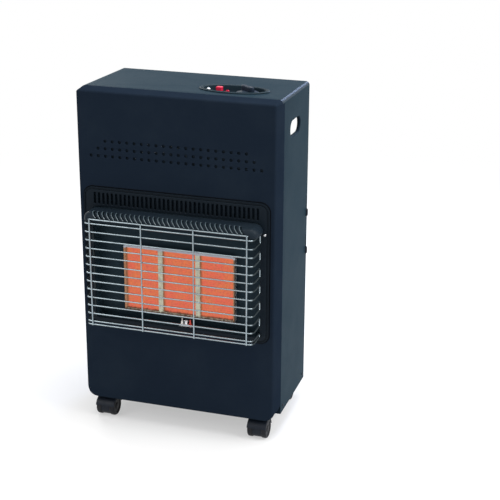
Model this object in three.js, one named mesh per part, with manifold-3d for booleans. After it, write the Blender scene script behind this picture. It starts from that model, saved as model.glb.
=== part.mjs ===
// Portable gas cabinet heater: a sheet-steel cabinet on five twin-wheel castors, with a
// three-plaque radiant burner behind a wire guard, and a gas cylinder held behind it by a belt.
// Millimetres. +Z is up, the burner faces -Y and +X is on the right of someone facing it.
// While the parts are made, Y = 0 is the face of the front panel and Z = 0 is the floor.

import * as THREE from 'three';
import { mergeVertices } from 'three/addons/utils/BufferGeometryUtils.js';
import Module from 'manifold-3d';

const wasm = await Module();
wasm.setup();

// ---------------------------------------------------------------- driving dimensions

const cabinetWidth = 420;
const cabinetHeight = 672;
const cabinetDepth = 230;
const sheet = 1.2; // steel sheet
const gap = 0.3; // between pieces that touch

const topEdgeRadius = 8;
const bottomCornerRadius = 25;
const faceEdgeRadius = 5; // soft edge round the face of the front panel
const panelFlangeSide = 45; // how far the front panel wraps back
const panelFlangeTop = 33;
const panelFlangeBottom = 18;
const lipLength = 12; // shell's lip under the front panel's flange
const columnWidth = 24; // rear return flange of each side
const rearLipHeight = 18; // downward flange at the back of the top

const perforationPitch = 15.5;
const perforationDiameter = 6.5;
const perforationRows = [20, 22, 24]; // holes in each row, from the top
const perforationDrop = 103; // top of the cabinet to the first row

const handleLength = 72; // hand hole in each side
const handleHeight = 32;
const handleDrop = 72; // top of the cabinet to the middle of the hole
const handleFromFront = 125;

const bezelWidth = 392;
const bezelHeight = 295;
const bezelDrop = 199; // top of the cabinet to the bezel
const bezelBar = 18; // side bar beside the aperture
const bezelHead = 41; // head above the aperture, with the vent slots
const bezelSill = 12;
const bezelRadius = 19;
const bezelThickness = 3;
const ventSlotCount = 38;
const ventSlotPitch = 9.3;
const ventSlotWidth = 4.6;
const ventSlotHeight = 24;

const hoodReach = 45; // deflector hood in front of the panel face
const hoodHeight = 19;
const hoodNoseRadius = 14.2;
const hoodCornerRadius = 16;
const hoodSlotCount = 33;
const hoodSlotPitch = 9.9;
const hoodSlotWidth = 5;

const wireDiameter = 3;
const guardRows = 12;
const guardColumnPitch = 109.7;
const guardBend = 8;

const burnerWidth = 241;
const burnerHeight = 143;
const burnerSill = 17; // bottom of the aperture to the burner
const burnerDepth = 43;
const burnerFront = 13; // face of the burner frame behind the panel face
const dividerWidth = 8;
const plaqueThickness = 11;
const housingDepth = 25;

const panelCentreX = 92.5; // oval control panel in the top
const panelCentreY = 92;
const panelLength = 145;
const panelWidth = 76;
const panelBowlDepth = 12;
const knobX = 120;
const knobDiameter = 46;
const knobHeight = 18;
const knobTravel = 5;
const knobTurn = -40; // degrees from +X of the grip at rest
const buttonX = 61;
const buttonSide = 12;
const buttonTravel = 3;

const shieldFromFront = 70; // heat shield between the burner and the cylinder
const shieldDrop = 194; // top of the cabinet to the top of the shield
const shieldRail = 12; // depth of the rail folded back along its top

const panSheetTop = 12.2; // top of the base sheet above the lower edge of the cabinet
const cylinderSideClearance = 49.8; // cylinder to the side wall
const cylinderShieldClearance = 6; // cylinder to the heat shield
const cylinderHeadroom = 70; // collar to the top of the cabinet
const cylinderWall = 3;
const collarRadius = 72.6;
const collarHeight = 92;
const platformMargin = 15; // platform beyond the cylinder

const beltBottom = 292; // above the lower edge of the cabinet
const beltHeight = 111;
const beltClearance = 8; // belt to the cylinder at the back
const beltWingClearance = 1; // belt to the cylinder beside it
const beltSheet = 1.5;
const beltSlotLength = 90;
const beltSlotHeight = 26;
const beltLift = 25; // upward travel that frees the belt
const beltTabHeight = 18;
const beltTabReach = 4; // tab outside the side wall

const castorWheelRadius = 20;
const castorWheelWidth = 11.2;
const castorTrack = 41.6; // over both wheels
const castorTrail = 14;
const castorFromSide = 40;
const castorFromFront = 38;
const rearCastorFromBack = 40;
const tailCastorFromRim = 37;
const castorFacets = 12;
const castorHeadroom = 6; // top of the wheels to the lower edge of the cabinet

const hoseDiameter = 14;
const inletNozzleLength = 32.1;
const regulatorNozzleReach = 52; // regulator's axis to the tip of its hose nozzle
const regulatorNozzleAzimuth = 60; // degrees from the back towards +X
const regulatorNozzleSlope = 24.8; // degrees that the nozzle falls towards its tip

// ---------------------------------------------------------------- derived places

const halfWidth = cabinetWidth / 2;
const zBottom = 2 * castorWheelRadius + castorHeadroom;
const zTop = zBottom + cabinetHeight;
const insideHalf = halfWidth - sheet;
const baseTop = zBottom + panSheetTop; // surface that the cylinder stands on

const bezelTop = zTop - bezelDrop;
const bezelBottom = bezelTop - bezelHeight;
const apertureHalf = bezelWidth / 2 - bezelBar;
const apertureTop = bezelTop - bezelHead;
const apertureBottom = bezelBottom + bezelSill;
const bezelFace = -gap - bezelThickness;
const burnerBottom = apertureBottom + burnerSill;
const burnerTop = burnerBottom + burnerHeight;

const bowlTop = zTop - panelBowlDepth; // upper face of the control panel's floor
const bowlUnder = bowlTop - 2;
const shieldTop = zTop - shieldDrop;

const cylinderRadius = insideHalf - cylinderSideClearance;
const cylinderFromFront = shieldFromFront + cylinderShieldClearance + cylinderRadius;
const cylinderTop = zTop - cylinderHeadroom;
const platformRadius = cylinderRadius + platformMargin;
const beltBack = cylinderFromFront + cylinderRadius + beltClearance;

// ---------------------------------------------------------------- making solids

/** A closed three.js geometry as a solid for cutting and joining. */
function solid(geometry) {
  const bare = new THREE.BufferGeometry();
  bare.setAttribute('position', geometry.getAttribute('position'));
  if (geometry.index) bare.setIndex(geometry.index);
  const merged = mergeVertices(bare, 1e-4);
  const points = merged.getAttribute('position');
  const corner = [new THREE.Vector3(), new THREE.Vector3(), new THREE.Vector3()];
  const triangles = [];
  let volume = 0;
  for (let i = 0; i < merged.index.count; i += 3) {
    const [a, b, c] = [0, 1, 2].map((k) => merged.index.getX(i + k));
    if (a === b || b === c || c === a) continue;
    [a, b, c].forEach((vertex, k) => corner[k].fromBufferAttribute(points, vertex));
    volume += corner[0].dot(corner[1].clone().cross(corner[2]));
    triangles.push(a, b, c);
  }
  if (volume < 0) triangles.reverse();
  return new wasm.Manifold(new wasm.Mesh({
    numProp: 3,
    vertProperties: Float32Array.from(points.array),
    triVerts: Uint32Array.from(triangles),
  }));
}

function join(...solids) {
  return solids.reduce((sum, next) => sum.add(next));
}

function box(x0, x1, y0, y1, z0, z1) {
  const geometry = new THREE.BoxGeometry(x1 - x0, y1 - y0, z1 - z0);
  geometry.translate((x0 + x1) / 2, (y0 + y1) / 2, (z0 + z1) / 2);
  return solid(geometry);
}

/** A shape drawn in X and Y, from z0 up to z1. */
function prismUp(shape, z0, z1, segments = 6) {
  const geometry = new THREE.ExtrudeGeometry(shape, { depth: z1 - z0, bevelEnabled: false, curveSegments: segments });
  geometry.translate(0, 0, z0);
  return solid(geometry);
}

/** A shape drawn in X and Z, from y0 back to y1. With a bevel, the edges of both ends are rounded. */
function prismBack(shape, y0, y1, segments = 4, bevel = 0) {
  const geometry = new THREE.ExtrudeGeometry(shape, {
    depth: y1 - y0 - 2 * bevel,
    bevelEnabled: bevel > 0,
    bevelThickness: bevel,
    bevelSize: bevel,
    bevelOffset: -bevel,
    bevelSegments: 2,
    curveSegments: segments,
  });
  geometry.rotateX(Math.PI / 2);
  geometry.translate(0, y1 - bevel, 0);
  return solid(geometry);
}

/** A shape drawn in Y and Z, from x0 across to x1. */
function prismAcross(shape, x0, x1, segments = 4) {
  const geometry = new THREE.ExtrudeGeometry(shape, { depth: x1 - x0, bevelEnabled: false, curveSegments: segments });
  const turn = new THREE.Matrix4().makeBasis(
    new THREE.Vector3(0, 1, 0), new THREE.Vector3(0, 0, 1), new THREE.Vector3(1, 0, 0));
  geometry.applyMatrix4(turn);
  geometry.translate(x0, 0, 0);
  return solid(geometry);
}

/** A profile of [radius, z] points turned about the vertical line through x, y. */
function turned(profile, sides = 16, x = 0, y = 0) {
  const points = profile.map(([radius, z]) => new THREE.Vector2(radius, z));
  const geometry = new THREE.LatheGeometry(points, sides);
  geometry.rotateX(Math.PI / 2);
  geometry.translate(x, y, 0);
  return solid(geometry);
}

/** An upright round bar. */
function bar(x, y, radius, z0, z1, sides = 12) {
  return turned([[0, z0], [radius, z0], [radius, z1], [0, z1]], sides, x, y);
}

/** A round bar along X, with a flat facet underneath. */
function barAcross(x0, x1, y, z, radius, sides = 12) {
  const geometry = new THREE.CylinderGeometry(radius, radius, x1 - x0, sides);
  geometry.rotateY(Math.PI / sides);
  geometry.rotateZ(Math.PI / 2);
  geometry.translate((x0 + x1) / 2, y, z);
  return solid(geometry);
}

/** A line through points that a tube follows corner by corner. */
class Route extends THREE.Curve {
  constructor(points) {
    super();
    this.points = points.map((point) => new THREE.Vector3(...point));
  }

  getPoint(t) {
    const place = t * (this.points.length - 1);
    const start = Math.min(Math.floor(place), this.points.length - 2);
    return this.points[start].clone().lerp(this.points[start + 1], place - start);
  }

  getPointAt(t) {
    return this.getPoint(t);
  }

  getTangentAt(t) {
    const corner = Math.round(t * (this.points.length - 1));
    const here = this.points[corner];
    const before = this.points[Math.max(corner - 1, 0)];
    const after = this.points[Math.min(corner + 1, this.points.length - 1)];
    const arriving = here.clone().sub(before).normalize();
    const leaving = after.clone().sub(here).normalize();
    return arriving.add(leaving).normalize();
  }
}

function ringShape(radius, sides) {
  const corners = [];
  for (let i = 0; i < sides; i += 1) {
    const angle = ((i + 0.5) / sides) * 2 * Math.PI;
    corners.push(new THREE.Vector2(radius * Math.cos(angle), radius * Math.sin(angle)));
  }
  return new THREE.Shape(corners);
}

/** A wire bent through the points. */
function wire(points, diameter = wireDiameter, sides = 5) {
  return solid(new THREE.ExtrudeGeometry(ringShape(diameter / 2, sides), {
    steps: points.length - 1,
    extrudePath: new Route(points),
  }));
}

/** A pipe or hose on one smooth curve through the points. */
function pipe(points, diameter, sides, steps) {
  const curve = new THREE.CatmullRomCurve3(points.map((point) => new THREE.Vector3(...point)), false, 'centripetal');
  return solid(new THREE.ExtrudeGeometry(ringShape(diameter / 2, sides), { steps, extrudePath: curve }));
}

// ---------------------------------------------------------------- outlines

/** A rectangle with one radius for its upper corners and one for its lower corners. */
function roundedRect(x0, x1, z0, z1, upper, lower = upper) {
  const shape = new THREE.Shape();
  shape.moveTo(x0 + lower, z0);
  shape.lineTo(x1 - lower, z0);
  if (lower > 0) shape.absarc(x1 - lower, z0 + lower, lower, -Math.PI / 2, 0);
  shape.lineTo(x1, z1 - upper);
  if (upper > 0) shape.absarc(x1 - upper, z1 - upper, upper, 0, Math.PI / 2);
  shape.lineTo(x0 + upper, z1);
  if (upper > 0) shape.absarc(x0 + upper, z1 - upper, upper, Math.PI / 2, Math.PI);
  shape.lineTo(x0, z0 + lower);
  if (lower > 0) shape.absarc(x0 + lower, z0 + lower, lower, Math.PI, 1.5 * Math.PI);
  return shape;
}

function obround(x, z, length, height) {
  return roundedRect(x - length / 2, x + length / 2, z - height / 2, z + height / 2, height / 2);
}

function oval(x, y, length, width) {
  const shape = new THREE.Shape();
  shape.absellipse(x, y, length / 2, width / 2, 0, 2 * Math.PI);
  return shape;
}

/** Outline of the front panel, inset from its outside. */
function panelOutline(inset) {
  return roundedRect(
    -halfWidth + inset, halfWidth - inset, zBottom + inset, zTop - inset,
    topEdgeRadius - inset, bottomCornerRadius - inset);
}

/** Outline of the shell's arch, inset from its outside, down to a level. */
function archOutline(inset, bottom) {
  return roundedRect(-halfWidth + inset, halfWidth - inset, bottom, zTop - inset, topEdgeRadius - inset, 0);
}

/** A band of the shell's arch between two insets. */
function archBand(outer, inner, y0, y1) {
  const outside = prismBack(archOutline(outer, zBottom), y0, y1);
  return outside.subtract(prismBack(archOutline(inner, zBottom - 10), y0 - 1, y1 + 1));
}

// ---------------------------------------------------------------- materials

function material(color, roughness, metalness = 0) {
  return new THREE.MeshStandardMaterial({ color, roughness, metalness });
}

const paint = {
  cabinet: material(0x1b212d, 0.45),
  blackEnamel: material(0x0c0d10, 0.5),
  chrome: material(0xb4c2cc, 0.2, 1),
  galvanised: material(0xb9c0c2, 0.45, 0.8),
  burnerSteel: material(0xc4c2b8, 0.4, 0.8),
  ceramic: material(0xe16e50, 0.9),
  whiteCeramic: material(0xeceae2, 0.4),
  brass: material(0xb99548, 0.35, 0.9),
  zinc: material(0x9da2a6, 0.4, 0.9),
  blackPlastic: material(0x14161a, 0.5),
  redPlastic: material(0xb0203a, 0.35),
  hose: material(0xe68250, 0.55),
  blueEnamel: material(0x465aaa, 0.25),
  tyre: material(0x1a1b1e, 0.7),
  copper: material(0xb87352, 0.35, 0.9),
};

const heater = new THREE.Group();

function addPart(parent, name, shape, look) {
  const mesh = shape.getMesh();
  const geometry = new THREE.BufferGeometry();
  geometry.setAttribute('position', new THREE.BufferAttribute(new Float32Array(mesh.vertProperties), 3));
  geometry.setIndex(new THREE.BufferAttribute(new Uint32Array(mesh.triVerts), 1));
  geometry.computeVertexNormals();
  const part = new THREE.Mesh(geometry, look);
  part.name = name;
  parent.add(part);
}

// ---------------------------------------------------------------- cabinet

/** The side wall and top, with rear columns, hand holes, the control opening and belt slots. */
function makeShell() {
  const sideFront = panelFlangeSide + gap;
  const topFront = panelFlangeTop + gap;
  const shoulder = zTop - topEdgeRadius;
  const lipInset = sheet + gap;
  const lipDepth = lipInset + sheet;
  const lipBottom = zBottom + bottomCornerRadius + 5;
  const across = halfWidth + 10;

  let shell = archBand(0, sheet, topFront, cabinetDepth)
    .subtract(box(-across, across, 0, sideFront, zBottom - 1, shoulder));
  for (const side of [-1, 1]) {
    const span = (from, to) => [side * from, side * to].sort((p, q) => p - q);
    const step = span(halfWidth - lipDepth, halfWidth - sheet / 2);
    const lip = span(halfWidth - lipDepth, halfWidth - lipInset);
    const column = span(halfWidth - columnWidth, halfWidth - sheet / 2);
    shell = join(shell,
      box(...step, sideFront, sideFront + sheet, lipBottom, shoulder - 2),
      box(...lip, sideFront - lipLength, sideFront + sheet, lipBottom, shoulder - 2),
      box(...column, cabinetDepth - sheet, cabinetDepth, zBottom, zTop - sheet / 2));
  }
  const lipHalf = halfWidth - topEdgeRadius - 2;
  shell = join(shell,
    box(-lipHalf, lipHalf, topFront, topFront + sheet, zTop - lipDepth, zTop - sheet / 2),
    box(-lipHalf, lipHalf, topFront - lipLength, topFront + sheet, zTop - lipDepth, zTop - lipInset),
    box(-insideHalf, insideHalf, cabinetDepth - sheet, cabinetDepth, zTop - rearLipHeight, zTop - sheet / 2));

  const handZ = zTop - handleDrop;
  const handHole = prismAcross(obround(handleFromFront, handZ, handleLength, handleHeight), -across, across, 5);
  const controlHole = prismUp(
    oval(panelCentreX, panelCentreY, panelLength - 12, panelWidth - 12), zTop - 4, zTop + 4, 7);
  shell = shell.subtract(handHole).subtract(controlHole);
  for (const z of beltTabLevels()) {
    const slot = box(-across, across, beltTabY - 1.5, beltTabY + beltSheet + 1.5,
      z - gap, z + beltTabHeight + beltLift + 1);
    shell = shell.subtract(slot);
  }
  return shell;
}

/** The front: a shallow tray with the burner opening and the perforations. */
function makeFrontPanel() {
  const depth = panelFlangeSide + 20;
  const outside = prismBack(panelOutline(0), 0, depth, 4, faceEdgeRadius);
  const inside = prismBack(panelOutline(sheet), sheet, depth + 20, 4, faceEdgeRadius - sheet);
  const across = halfWidth + 10;
  const behindSides = box(-across, across, panelFlangeSide, depth + 5, zBottom - 5, zTop + 5);
  const behindTop = box(-across, across, panelFlangeTop, depth + 5, zTop - topEdgeRadius - gap, zTop + 5);
  const flatBottom = halfWidth - bottomCornerRadius;
  const behindBottom = box(-flatBottom, flatBottom, panelFlangeBottom, depth + 5, zBottom - 5, zBottom + 5);
  const opening = prismBack(
    roundedRect(-apertureHalf - 9, apertureHalf + 9, apertureBottom - 7, bezelTop - 6, 10), -2, 6, 2);
  let panel = outside.subtract(inside).subtract(behindSides).subtract(behindTop)
    .subtract(behindBottom).subtract(opening);

  const holes = [];
  perforationRows.forEach((count, row) => {
    const z = zTop - perforationDrop - row * perforationPitch;
    for (let i = 0; i < count; i += 1) {
      const x = (i - (count - 1) / 2) * perforationPitch;
      const hole = new THREE.Shape(ringShape(perforationDiameter / 2, 6).getPoints()
        .map((corner) => new THREE.Vector2(corner.x + x, corner.y + z)));
      holes.push(prismBack(hole, -1, sheet + 1));
    }
  });
  panel = panel.subtract(join(...holes));
  return panel;
}

/** The base sheet, an inverted tray between the side walls. */
function makeBasePan() {
  const inset = sheet + gap;
  const rear = cabinetDepth - gap / 3;
  const columnFront = cabinetDepth - sheet - gap;
  const cap = box(-halfWidth, halfWidth, 0, panelFlangeSide + 5, zBottom - 5, baseTop);
  const rounded = prismBack(panelOutline(inset), inset, panelFlangeSide + 25, 4, faceEdgeRadius - inset)
    .intersect(cap);
  const square = join(
    box(-insideHalf + gap, insideHalf - gap, panelFlangeSide + gap, columnFront, zBottom, baseTop),
    box(-halfWidth + columnWidth + gap, halfWidth - columnWidth - gap, columnFront - 1, rear, zBottom, baseTop));
  const under = baseTop - sheet;
  const flangeX = insideHalf - gap - sheet;
  const flatBottom = halfWidth - bottomCornerRadius;
  const roundedHollow = prismBack(
    panelOutline(inset + sheet), inset + sheet, panelFlangeSide + 25, 4, faceEdgeRadius - inset - sheet)
    .intersect(box(-halfWidth, halfWidth, 0, panelFlangeSide + 6, zBottom - 5, under));
  const hollow = join(
    roundedHollow,
    box(-flatBottom, flatBottom, inset + sheet, rear - sheet, zBottom - 5, under),
    box(-flangeX, flangeX, panelFlangeSide + gap + sheet, columnFront - sheet, zBottom - 5, under));
  return join(rounded, square).subtract(hollow);
}

/** The half-round platform under the back of the cylinder. */
function makePlatform() {
  const outline = (inset) => {
    const shape = new THREE.Shape();
    const radius = platformRadius - inset;
    shape.moveTo(-radius, cabinetDepth + gap + inset);
    shape.lineTo(radius, cabinetDepth + gap + inset);
    shape.absarc(0, cylinderFromFront, radius, 0, Math.PI);
    return shape;
  };
  const top = prismUp(outline(0), zBottom, baseTop, 14);
  return top.subtract(prismUp(outline(sheet), zBottom - 1, baseTop - sheet, 14));
}

/** The heat shield, with a folded rail along its top edge. */
function makeHeatShield() {
  const half = insideHalf - gap;
  const y = shieldFromFront;
  return join(
    box(-half, half, y - sheet / 2, y + sheet / 2, baseTop + gap, shieldTop),
    box(-half, half, y - sheet / 2, y + shieldRail, shieldTop - sheet, shieldTop),
    box(-half, half, y + shieldRail - sheet, y + shieldRail, shieldTop - 10, shieldTop));
}

// ---------------------------------------------------------------- burner window

/** The black bezel round the window, with a row of vent slots in its head. */
function makeBezel() {
  const half = bezelWidth / 2;
  const plate = prismBack(roundedRect(-half, half, bezelBottom, bezelTop, bezelRadius), bezelFace, -gap, 4, 1.2);
  const aperture = prismBack(
    roundedRect(-apertureHalf, apertureHalf, apertureBottom, apertureTop, 8), bezelFace - 1, 1, 2);
  const slots = [];
  const slotTop = bezelTop - 11;
  for (let i = 0; i < ventSlotCount; i += 1) {
    const x = (i - (ventSlotCount - 1) / 2) * ventSlotPitch;
    slots.push(box(x - ventSlotWidth / 2, x + ventSlotWidth / 2, bezelFace - 1, 1, slotTop - ventSlotHeight, slotTop));
  }
  return plate.subtract(aperture).subtract(join(...slots));
}

/** The black box behind the window, open to the front, with the burner's hole in its back. */
function makeHousing() {
  const half = apertureHalf + gap;
  const low = apertureBottom - gap;
  const high = apertureTop + gap;
  const walls = box(-half - sheet, half + sheet, 0, housingDepth + sheet, low - sheet, high + sheet)
    .subtract(box(-half, half, -1, housingDepth, low, high));
  const flange = box(-half - 16, half + 16, sheet + gap, 2 * sheet + gap, low - 16, high - 20)
    .subtract(box(-half, half, 0, 5, low, high));
  const clear = gap - 1.5;
  const burnerHole = box(
    -burnerWidth / 2 - clear, burnerWidth / 2 + clear, housingDepth - 1, housingDepth + sheet + 1,
    burnerBottom - clear, burnerTop + clear);
  const pilotHoles = join(...pilotPlaces.map((x) => bar(x, pilotY, 3.4, low - 3, low + 2, 8)));
  return join(walls, flange).subtract(burnerHole).subtract(pilotHoles);
}

/** The slotted deflector hood over the top of the window. */
function makeHood() {
  const profile = (inset, drop) => {
    const shape = new THREE.Shape();
    const back = bezelFace - gap;
    const centreY = -hoodReach + hoodNoseRadius;
    const centreZ = apertureTop - 1 - hoodNoseRadius;
    const radius = hoodNoseRadius - inset;
    shape.moveTo(back + (inset > 0 ? 10 : 0), apertureTop - hoodHeight - drop);
    shape.lineTo(back + (inset > 0 ? 10 : 0), apertureTop - inset);
    shape.lineTo(centreY, apertureTop - 1 - inset);
    shape.absarc(centreY, centreZ, radius, Math.PI / 2, Math.PI);
    shape.lineTo(-hoodReach + inset, apertureTop - hoodHeight - drop);
    return shape;
  };
  const plan = (inset) => {
    const half = apertureHalf + 5 - inset;
    return roundedRect(-half, half, -hoodReach + inset, 40, 0, hoodCornerRadius - inset);
  };
  const half = apertureHalf + 6;
  const outside = prismAcross(profile(0, 0), -half, half, 2)
    .intersect(prismUp(plan(0), apertureTop - 60, apertureTop + 10, 3));
  const inside = prismAcross(profile(sheet, 5), -half, half, 2)
    .intersect(prismUp(plan(sheet), apertureTop - 60, apertureTop + 10, 3));
  const slots = [];
  for (let i = 0; i < hoodSlotCount; i += 1) {
    const x = (i - (hoodSlotCount - 1) / 2) * hoodSlotPitch;
    slots.push(box(x - hoodSlotWidth / 2, x + hoodSlotWidth / 2, -hoodReach - 1, -10,
      apertureTop - hoodHeight + 6, apertureTop + 2));
  }
  return outside.subtract(inside).subtract(join(...slots));
}

/** The wire guard: level wires that bend back to the bezel, on four uprights. */
function makeGuard() {
  const frontY = -hoodReach - gap - wireDiameter / 2;
  const uprightY = frontY - wireDiameter + 0.6;
  const endX = apertureHalf;
  const backY = bezelFace - gap - wireDiameter / 2;
  const railZ = apertureTop - 13;
  const firstRow = apertureTop - 22;
  const lastRow = apertureBottom + 27;
  const pitch = (firstRow - lastRow) / (guardRows - 1);
  const parts = [];

  const hoop = (z) => wire([
    [-endX, backY, z], [-endX, frontY + guardBend, z], [-endX + guardBend, frontY, z],
    [endX - guardBend, frontY, z], [endX, frontY + guardBend, z], [endX, backY, z],
  ]);
  const returnLeg = (x, low, high) => wire([[x, backY, low - 0.5], [x, backY, high + 0.5]]);

  for (let row = 0; row < guardRows; row += 1) {
    parts.push(hoop(firstRow - row * pitch));
  }
  for (let row = 0; row < guardRows; row += 2) {
    const high = firstRow - row * pitch;
    for (const x of [-endX, endX]) parts.push(returnLeg(x, high - pitch, high));
  }
  const sillHigh = apertureBottom + 10;
  const sillLow = apertureBottom + 3;
  parts.push(hoop(sillHigh), hoop(sillLow));
  for (const x of [-endX, endX]) parts.push(returnLeg(x, sillLow, sillHigh));

  const railHalf = guardColumnPitch * 1.5 + 2;
  parts.push(wire([[-railHalf, frontY, railZ], [railHalf, frontY, railZ]]));
  for (let i = 0; i < 4; i += 1) {
    const x = (i - 1.5) * guardColumnPitch;
    parts.push(wire([[x, uprightY, sillLow - 1], [x, uprightY, railZ + 1]]));
  }
  return join(...parts);
}

// ---------------------------------------------------------------- burner

const plenumFront = burnerFront + 4;
const plenumBack = burnerFront + burnerDepth;
const plenumHalf = burnerWidth / 2 - 1.5;
const plaqueWidth = (2 * plenumHalf - 2 * dividerWidth - 4) / 3;
const plaquePitch = plaqueWidth + dividerWidth;
const plaqueHeight = burnerHeight - 8;
const burnerMiddle = burnerBottom + burnerHeight / 2;
const venturiY = 43;
const venturiBottom = burnerBottom - 42;
const manifoldTop = venturiBottom - 9;
const manifoldY = 43;

/** The three-chamber plenum behind the plaques, with a venturi tube under each chamber. */
function makePlenum() {
  let plenum = box(-plenumHalf, plenumHalf, plenumFront, plenumBack, burnerBottom + 1.5, burnerTop - 1.5);
  for (const i of [-1, 0, 1]) {
    const x = i * plaquePitch;
    const pocket = (trim, y0, y1) => box(
      x - plaqueWidth / 2 + trim, x + plaqueWidth / 2 - trim, y0, y1,
      burnerMiddle - plaqueHeight / 2 + trim, burnerMiddle + plaqueHeight / 2 - trim);
    plenum = plenum.add(turned([
      [0, venturiBottom], [13, venturiBottom], [10, venturiBottom + 12], [10, burnerBottom + 3], [0, burnerBottom + 3],
    ], 12, x, venturiY));
    plenum = plenum.subtract(pocket(-gap, plenumFront - 1, plenumFront + plaqueThickness + gap));
    plenum = plenum.subtract(pocket(4, plenumFront, plenumBack - 2));
    plenum = plenum.subtract(turned([
      [0, venturiBottom - 1], [11.8, venturiBottom - 1], [8.6, venturiBottom + 12], [8.6, burnerBottom + 12],
      [0, burnerBottom + 12],
    ], 12, x, venturiY));
  }
  return plenum;
}

function makePlaque(place) {
  const x = place * plaquePitch;
  return box(x - plaqueWidth / 2, x + plaqueWidth / 2, plenumFront, plenumFront + plaqueThickness,
    burnerMiddle - plaqueHeight / 2, burnerMiddle + plaqueHeight / 2);
}

/** The pale steel frame that holds the plaques in the plenum. */
function makeBurnerFrame() {
  const back = plenumFront - gap;
  let frame = box(-burnerWidth / 2, burnerWidth / 2, burnerFront, back, burnerBottom, burnerTop);
  for (const i of [-1, 0, 1]) {
    const x = i * plaquePitch;
    frame = frame.subtract(box(
      x - plaqueWidth / 2 + 1, x + plaqueWidth / 2 - 1, burnerFront - 1, back + 1, burnerBottom + 5, burnerTop - 5));
  }
  return frame;
}

/** The gas rail under the venturi tubes: three jets, and two ears on the heat shield. */
function makeManifold() {
  const half = plaquePitch + 14;
  let rail = box(-half, half, manifoldY - 6, manifoldY + 6, manifoldTop - 12, manifoldTop);
  for (const i of [-1, 0, 1]) {
    rail = rail.add(turned([
      [0, manifoldTop - 1], [5, manifoldTop - 1], [5, manifoldTop + 4], [2.5, manifoldTop + 8], [0, manifoldTop + 8],
    ], 8, i * plaquePitch, manifoldY));
  }
  const earBack = shieldFromFront - sheet / 2 - gap;
  for (const x of [-plaquePitch / 2, plaquePitch / 2]) {
    rail = join(rail,
      box(x - 8, x + 8, manifoldY + 5, earBack, manifoldTop - 4, manifoldTop - 2),
      box(x - 8, x + 8, earBack - 1.5, earBack, manifoldTop - 14, manifoldTop - 2));
  }
  return rail;
}

const pilotY = 8;
const electrodeX = 8;
const pilotX = 17;
const thermocoupleX = 26;
const pilotPlaces = [electrodeX, pilotX, thermocoupleX];
const pilotPlateTop = apertureBottom + gap + 1.5;
const pilotStub = apertureBottom - 9;

/** The pilot burner on its small plate, with its stub through the floor of the housing. */
function makePilotBurner() {
  const plate = box(electrodeX - 6, thermocoupleX + 6, pilotY - 6, pilotY + 6, apertureBottom, pilotPlateTop);
  const others = join(
    bar(electrodeX, pilotY, 3.4, apertureBottom - 1, pilotPlateTop + 1, 8),
    bar(thermocoupleX, pilotY, 3.4, apertureBottom - 1, pilotPlateTop + 1, 8));
  const body = turned([
    [0, pilotStub], [2.8, pilotStub], [2.8, pilotPlateTop], [3.6, pilotPlateTop], [3.6, pilotPlateTop + 9],
    [2.4, pilotPlateTop + 11], [0, pilotPlateTop + 11],
  ], 8, pilotX, pilotY);
  const flameHood = box(pilotX - 5, pilotX + 5, pilotY - 3, pilotY + 4.7, pilotPlateTop + 10, pilotPlateTop + 11.2);
  return join(plate.subtract(others), body, flameHood);
}

/** The spark electrode: a ceramic body with a steel tip. */
function makeElectrode() {
  return turned([
    [0, pilotStub], [2.6, pilotStub], [3, pilotPlateTop + 5], [1.8, pilotPlateTop + 9], [0.8, pilotPlateTop + 9],
    [0.8, pilotPlateTop + 15], [0, pilotPlateTop + 15],
  ], 8, electrodeX, pilotY);
}

// ---------------------------------------------------------------- controls under the top

const valveTop = bowlUnder - gap;
const valveBottom = valveTop - 43.7;
const valveRadius = 20;
const inletX = 113;
const inletY = 123;
const inletBossBottom = valveTop - 35;
const supplyX = 108;
const pilotPortX = 120;
const thermoPortX = 131;
const portY = 78;
const stemHole = 4.3;
const stemRadius = 4;

/** The gas valve, with a boss at the back for the inlet and a bore for the spindle. */
function makeGasValve() {
  const body = join(
    bar(knobX, panelCentreY, valveRadius, valveBottom, valveTop, 16),
    box(inletX - 10, inletX + 10, panelCentreY, inletY + 11, inletBossBottom, valveTop - 12));
  return body.subtract(bar(knobX, panelCentreY, stemHole, valveTop - 14, valveTop + 1, 12));
}

function makeSpindle() {
  return bar(knobX, panelCentreY, stemRadius, valveTop - 13.7, bowlTop + 10, 12);
}

/** The oval dish in the top, with a rim on the sheet and holes for the spindle and the button. */
function makeControlPanel() {
  const rimTop = zTop + gap + 2;
  const dish = join(
    prismUp(oval(panelCentreX, panelCentreY, panelLength, panelWidth), zTop + gap, rimTop, 7),
    prismUp(oval(panelCentreX, panelCentreY, panelLength - 12.8, panelWidth - 12.8), bowlUnder, rimTop, 7));
  const recess = prismUp(oval(panelCentreX, panelCentreY, panelLength - 17, panelWidth - 17), bowlTop, rimTop + 1, 7);
  return dish.subtract(recess)
    .subtract(bar(knobX, panelCentreY, stemRadius + 1.3, bowlUnder - 1, bowlTop + 1, 12))
    .subtract(bar(buttonX, panelCentreY, 3.6, bowlUnder - 1, bowlTop + 1, 10));
}

/** The control knob: a skirt with a grip bar across it and a blind bore for the spindle. */
function makeKnob() {
  const low = bowlTop + knobTravel + 1;
  const grip = new THREE.BoxGeometry(knobDiameter - 6, 9, knobHeight - 3);
  grip.translate(0, 0, low + 3 + (knobHeight - 3) / 2);
  grip.rotateZ(THREE.MathUtils.degToRad(knobTurn));
  grip.translate(knobX, panelCentreY, 0);
  const skirt = turned([
    [0, low], [knobDiameter / 2, low], [knobDiameter / 2, low + 3], [knobDiameter / 2 - 2, low + 5],
    [knobDiameter / 2 - 8, low + 6], [0, low + 6],
  ], 24, knobX, panelCentreY);
  const bore = bar(knobX, panelCentreY, stemHole, low - 1, bowlTop + 10 + knobTravel + gap, 12);
  return join(skirt, solid(grip)).subtract(bore);
}

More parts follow.
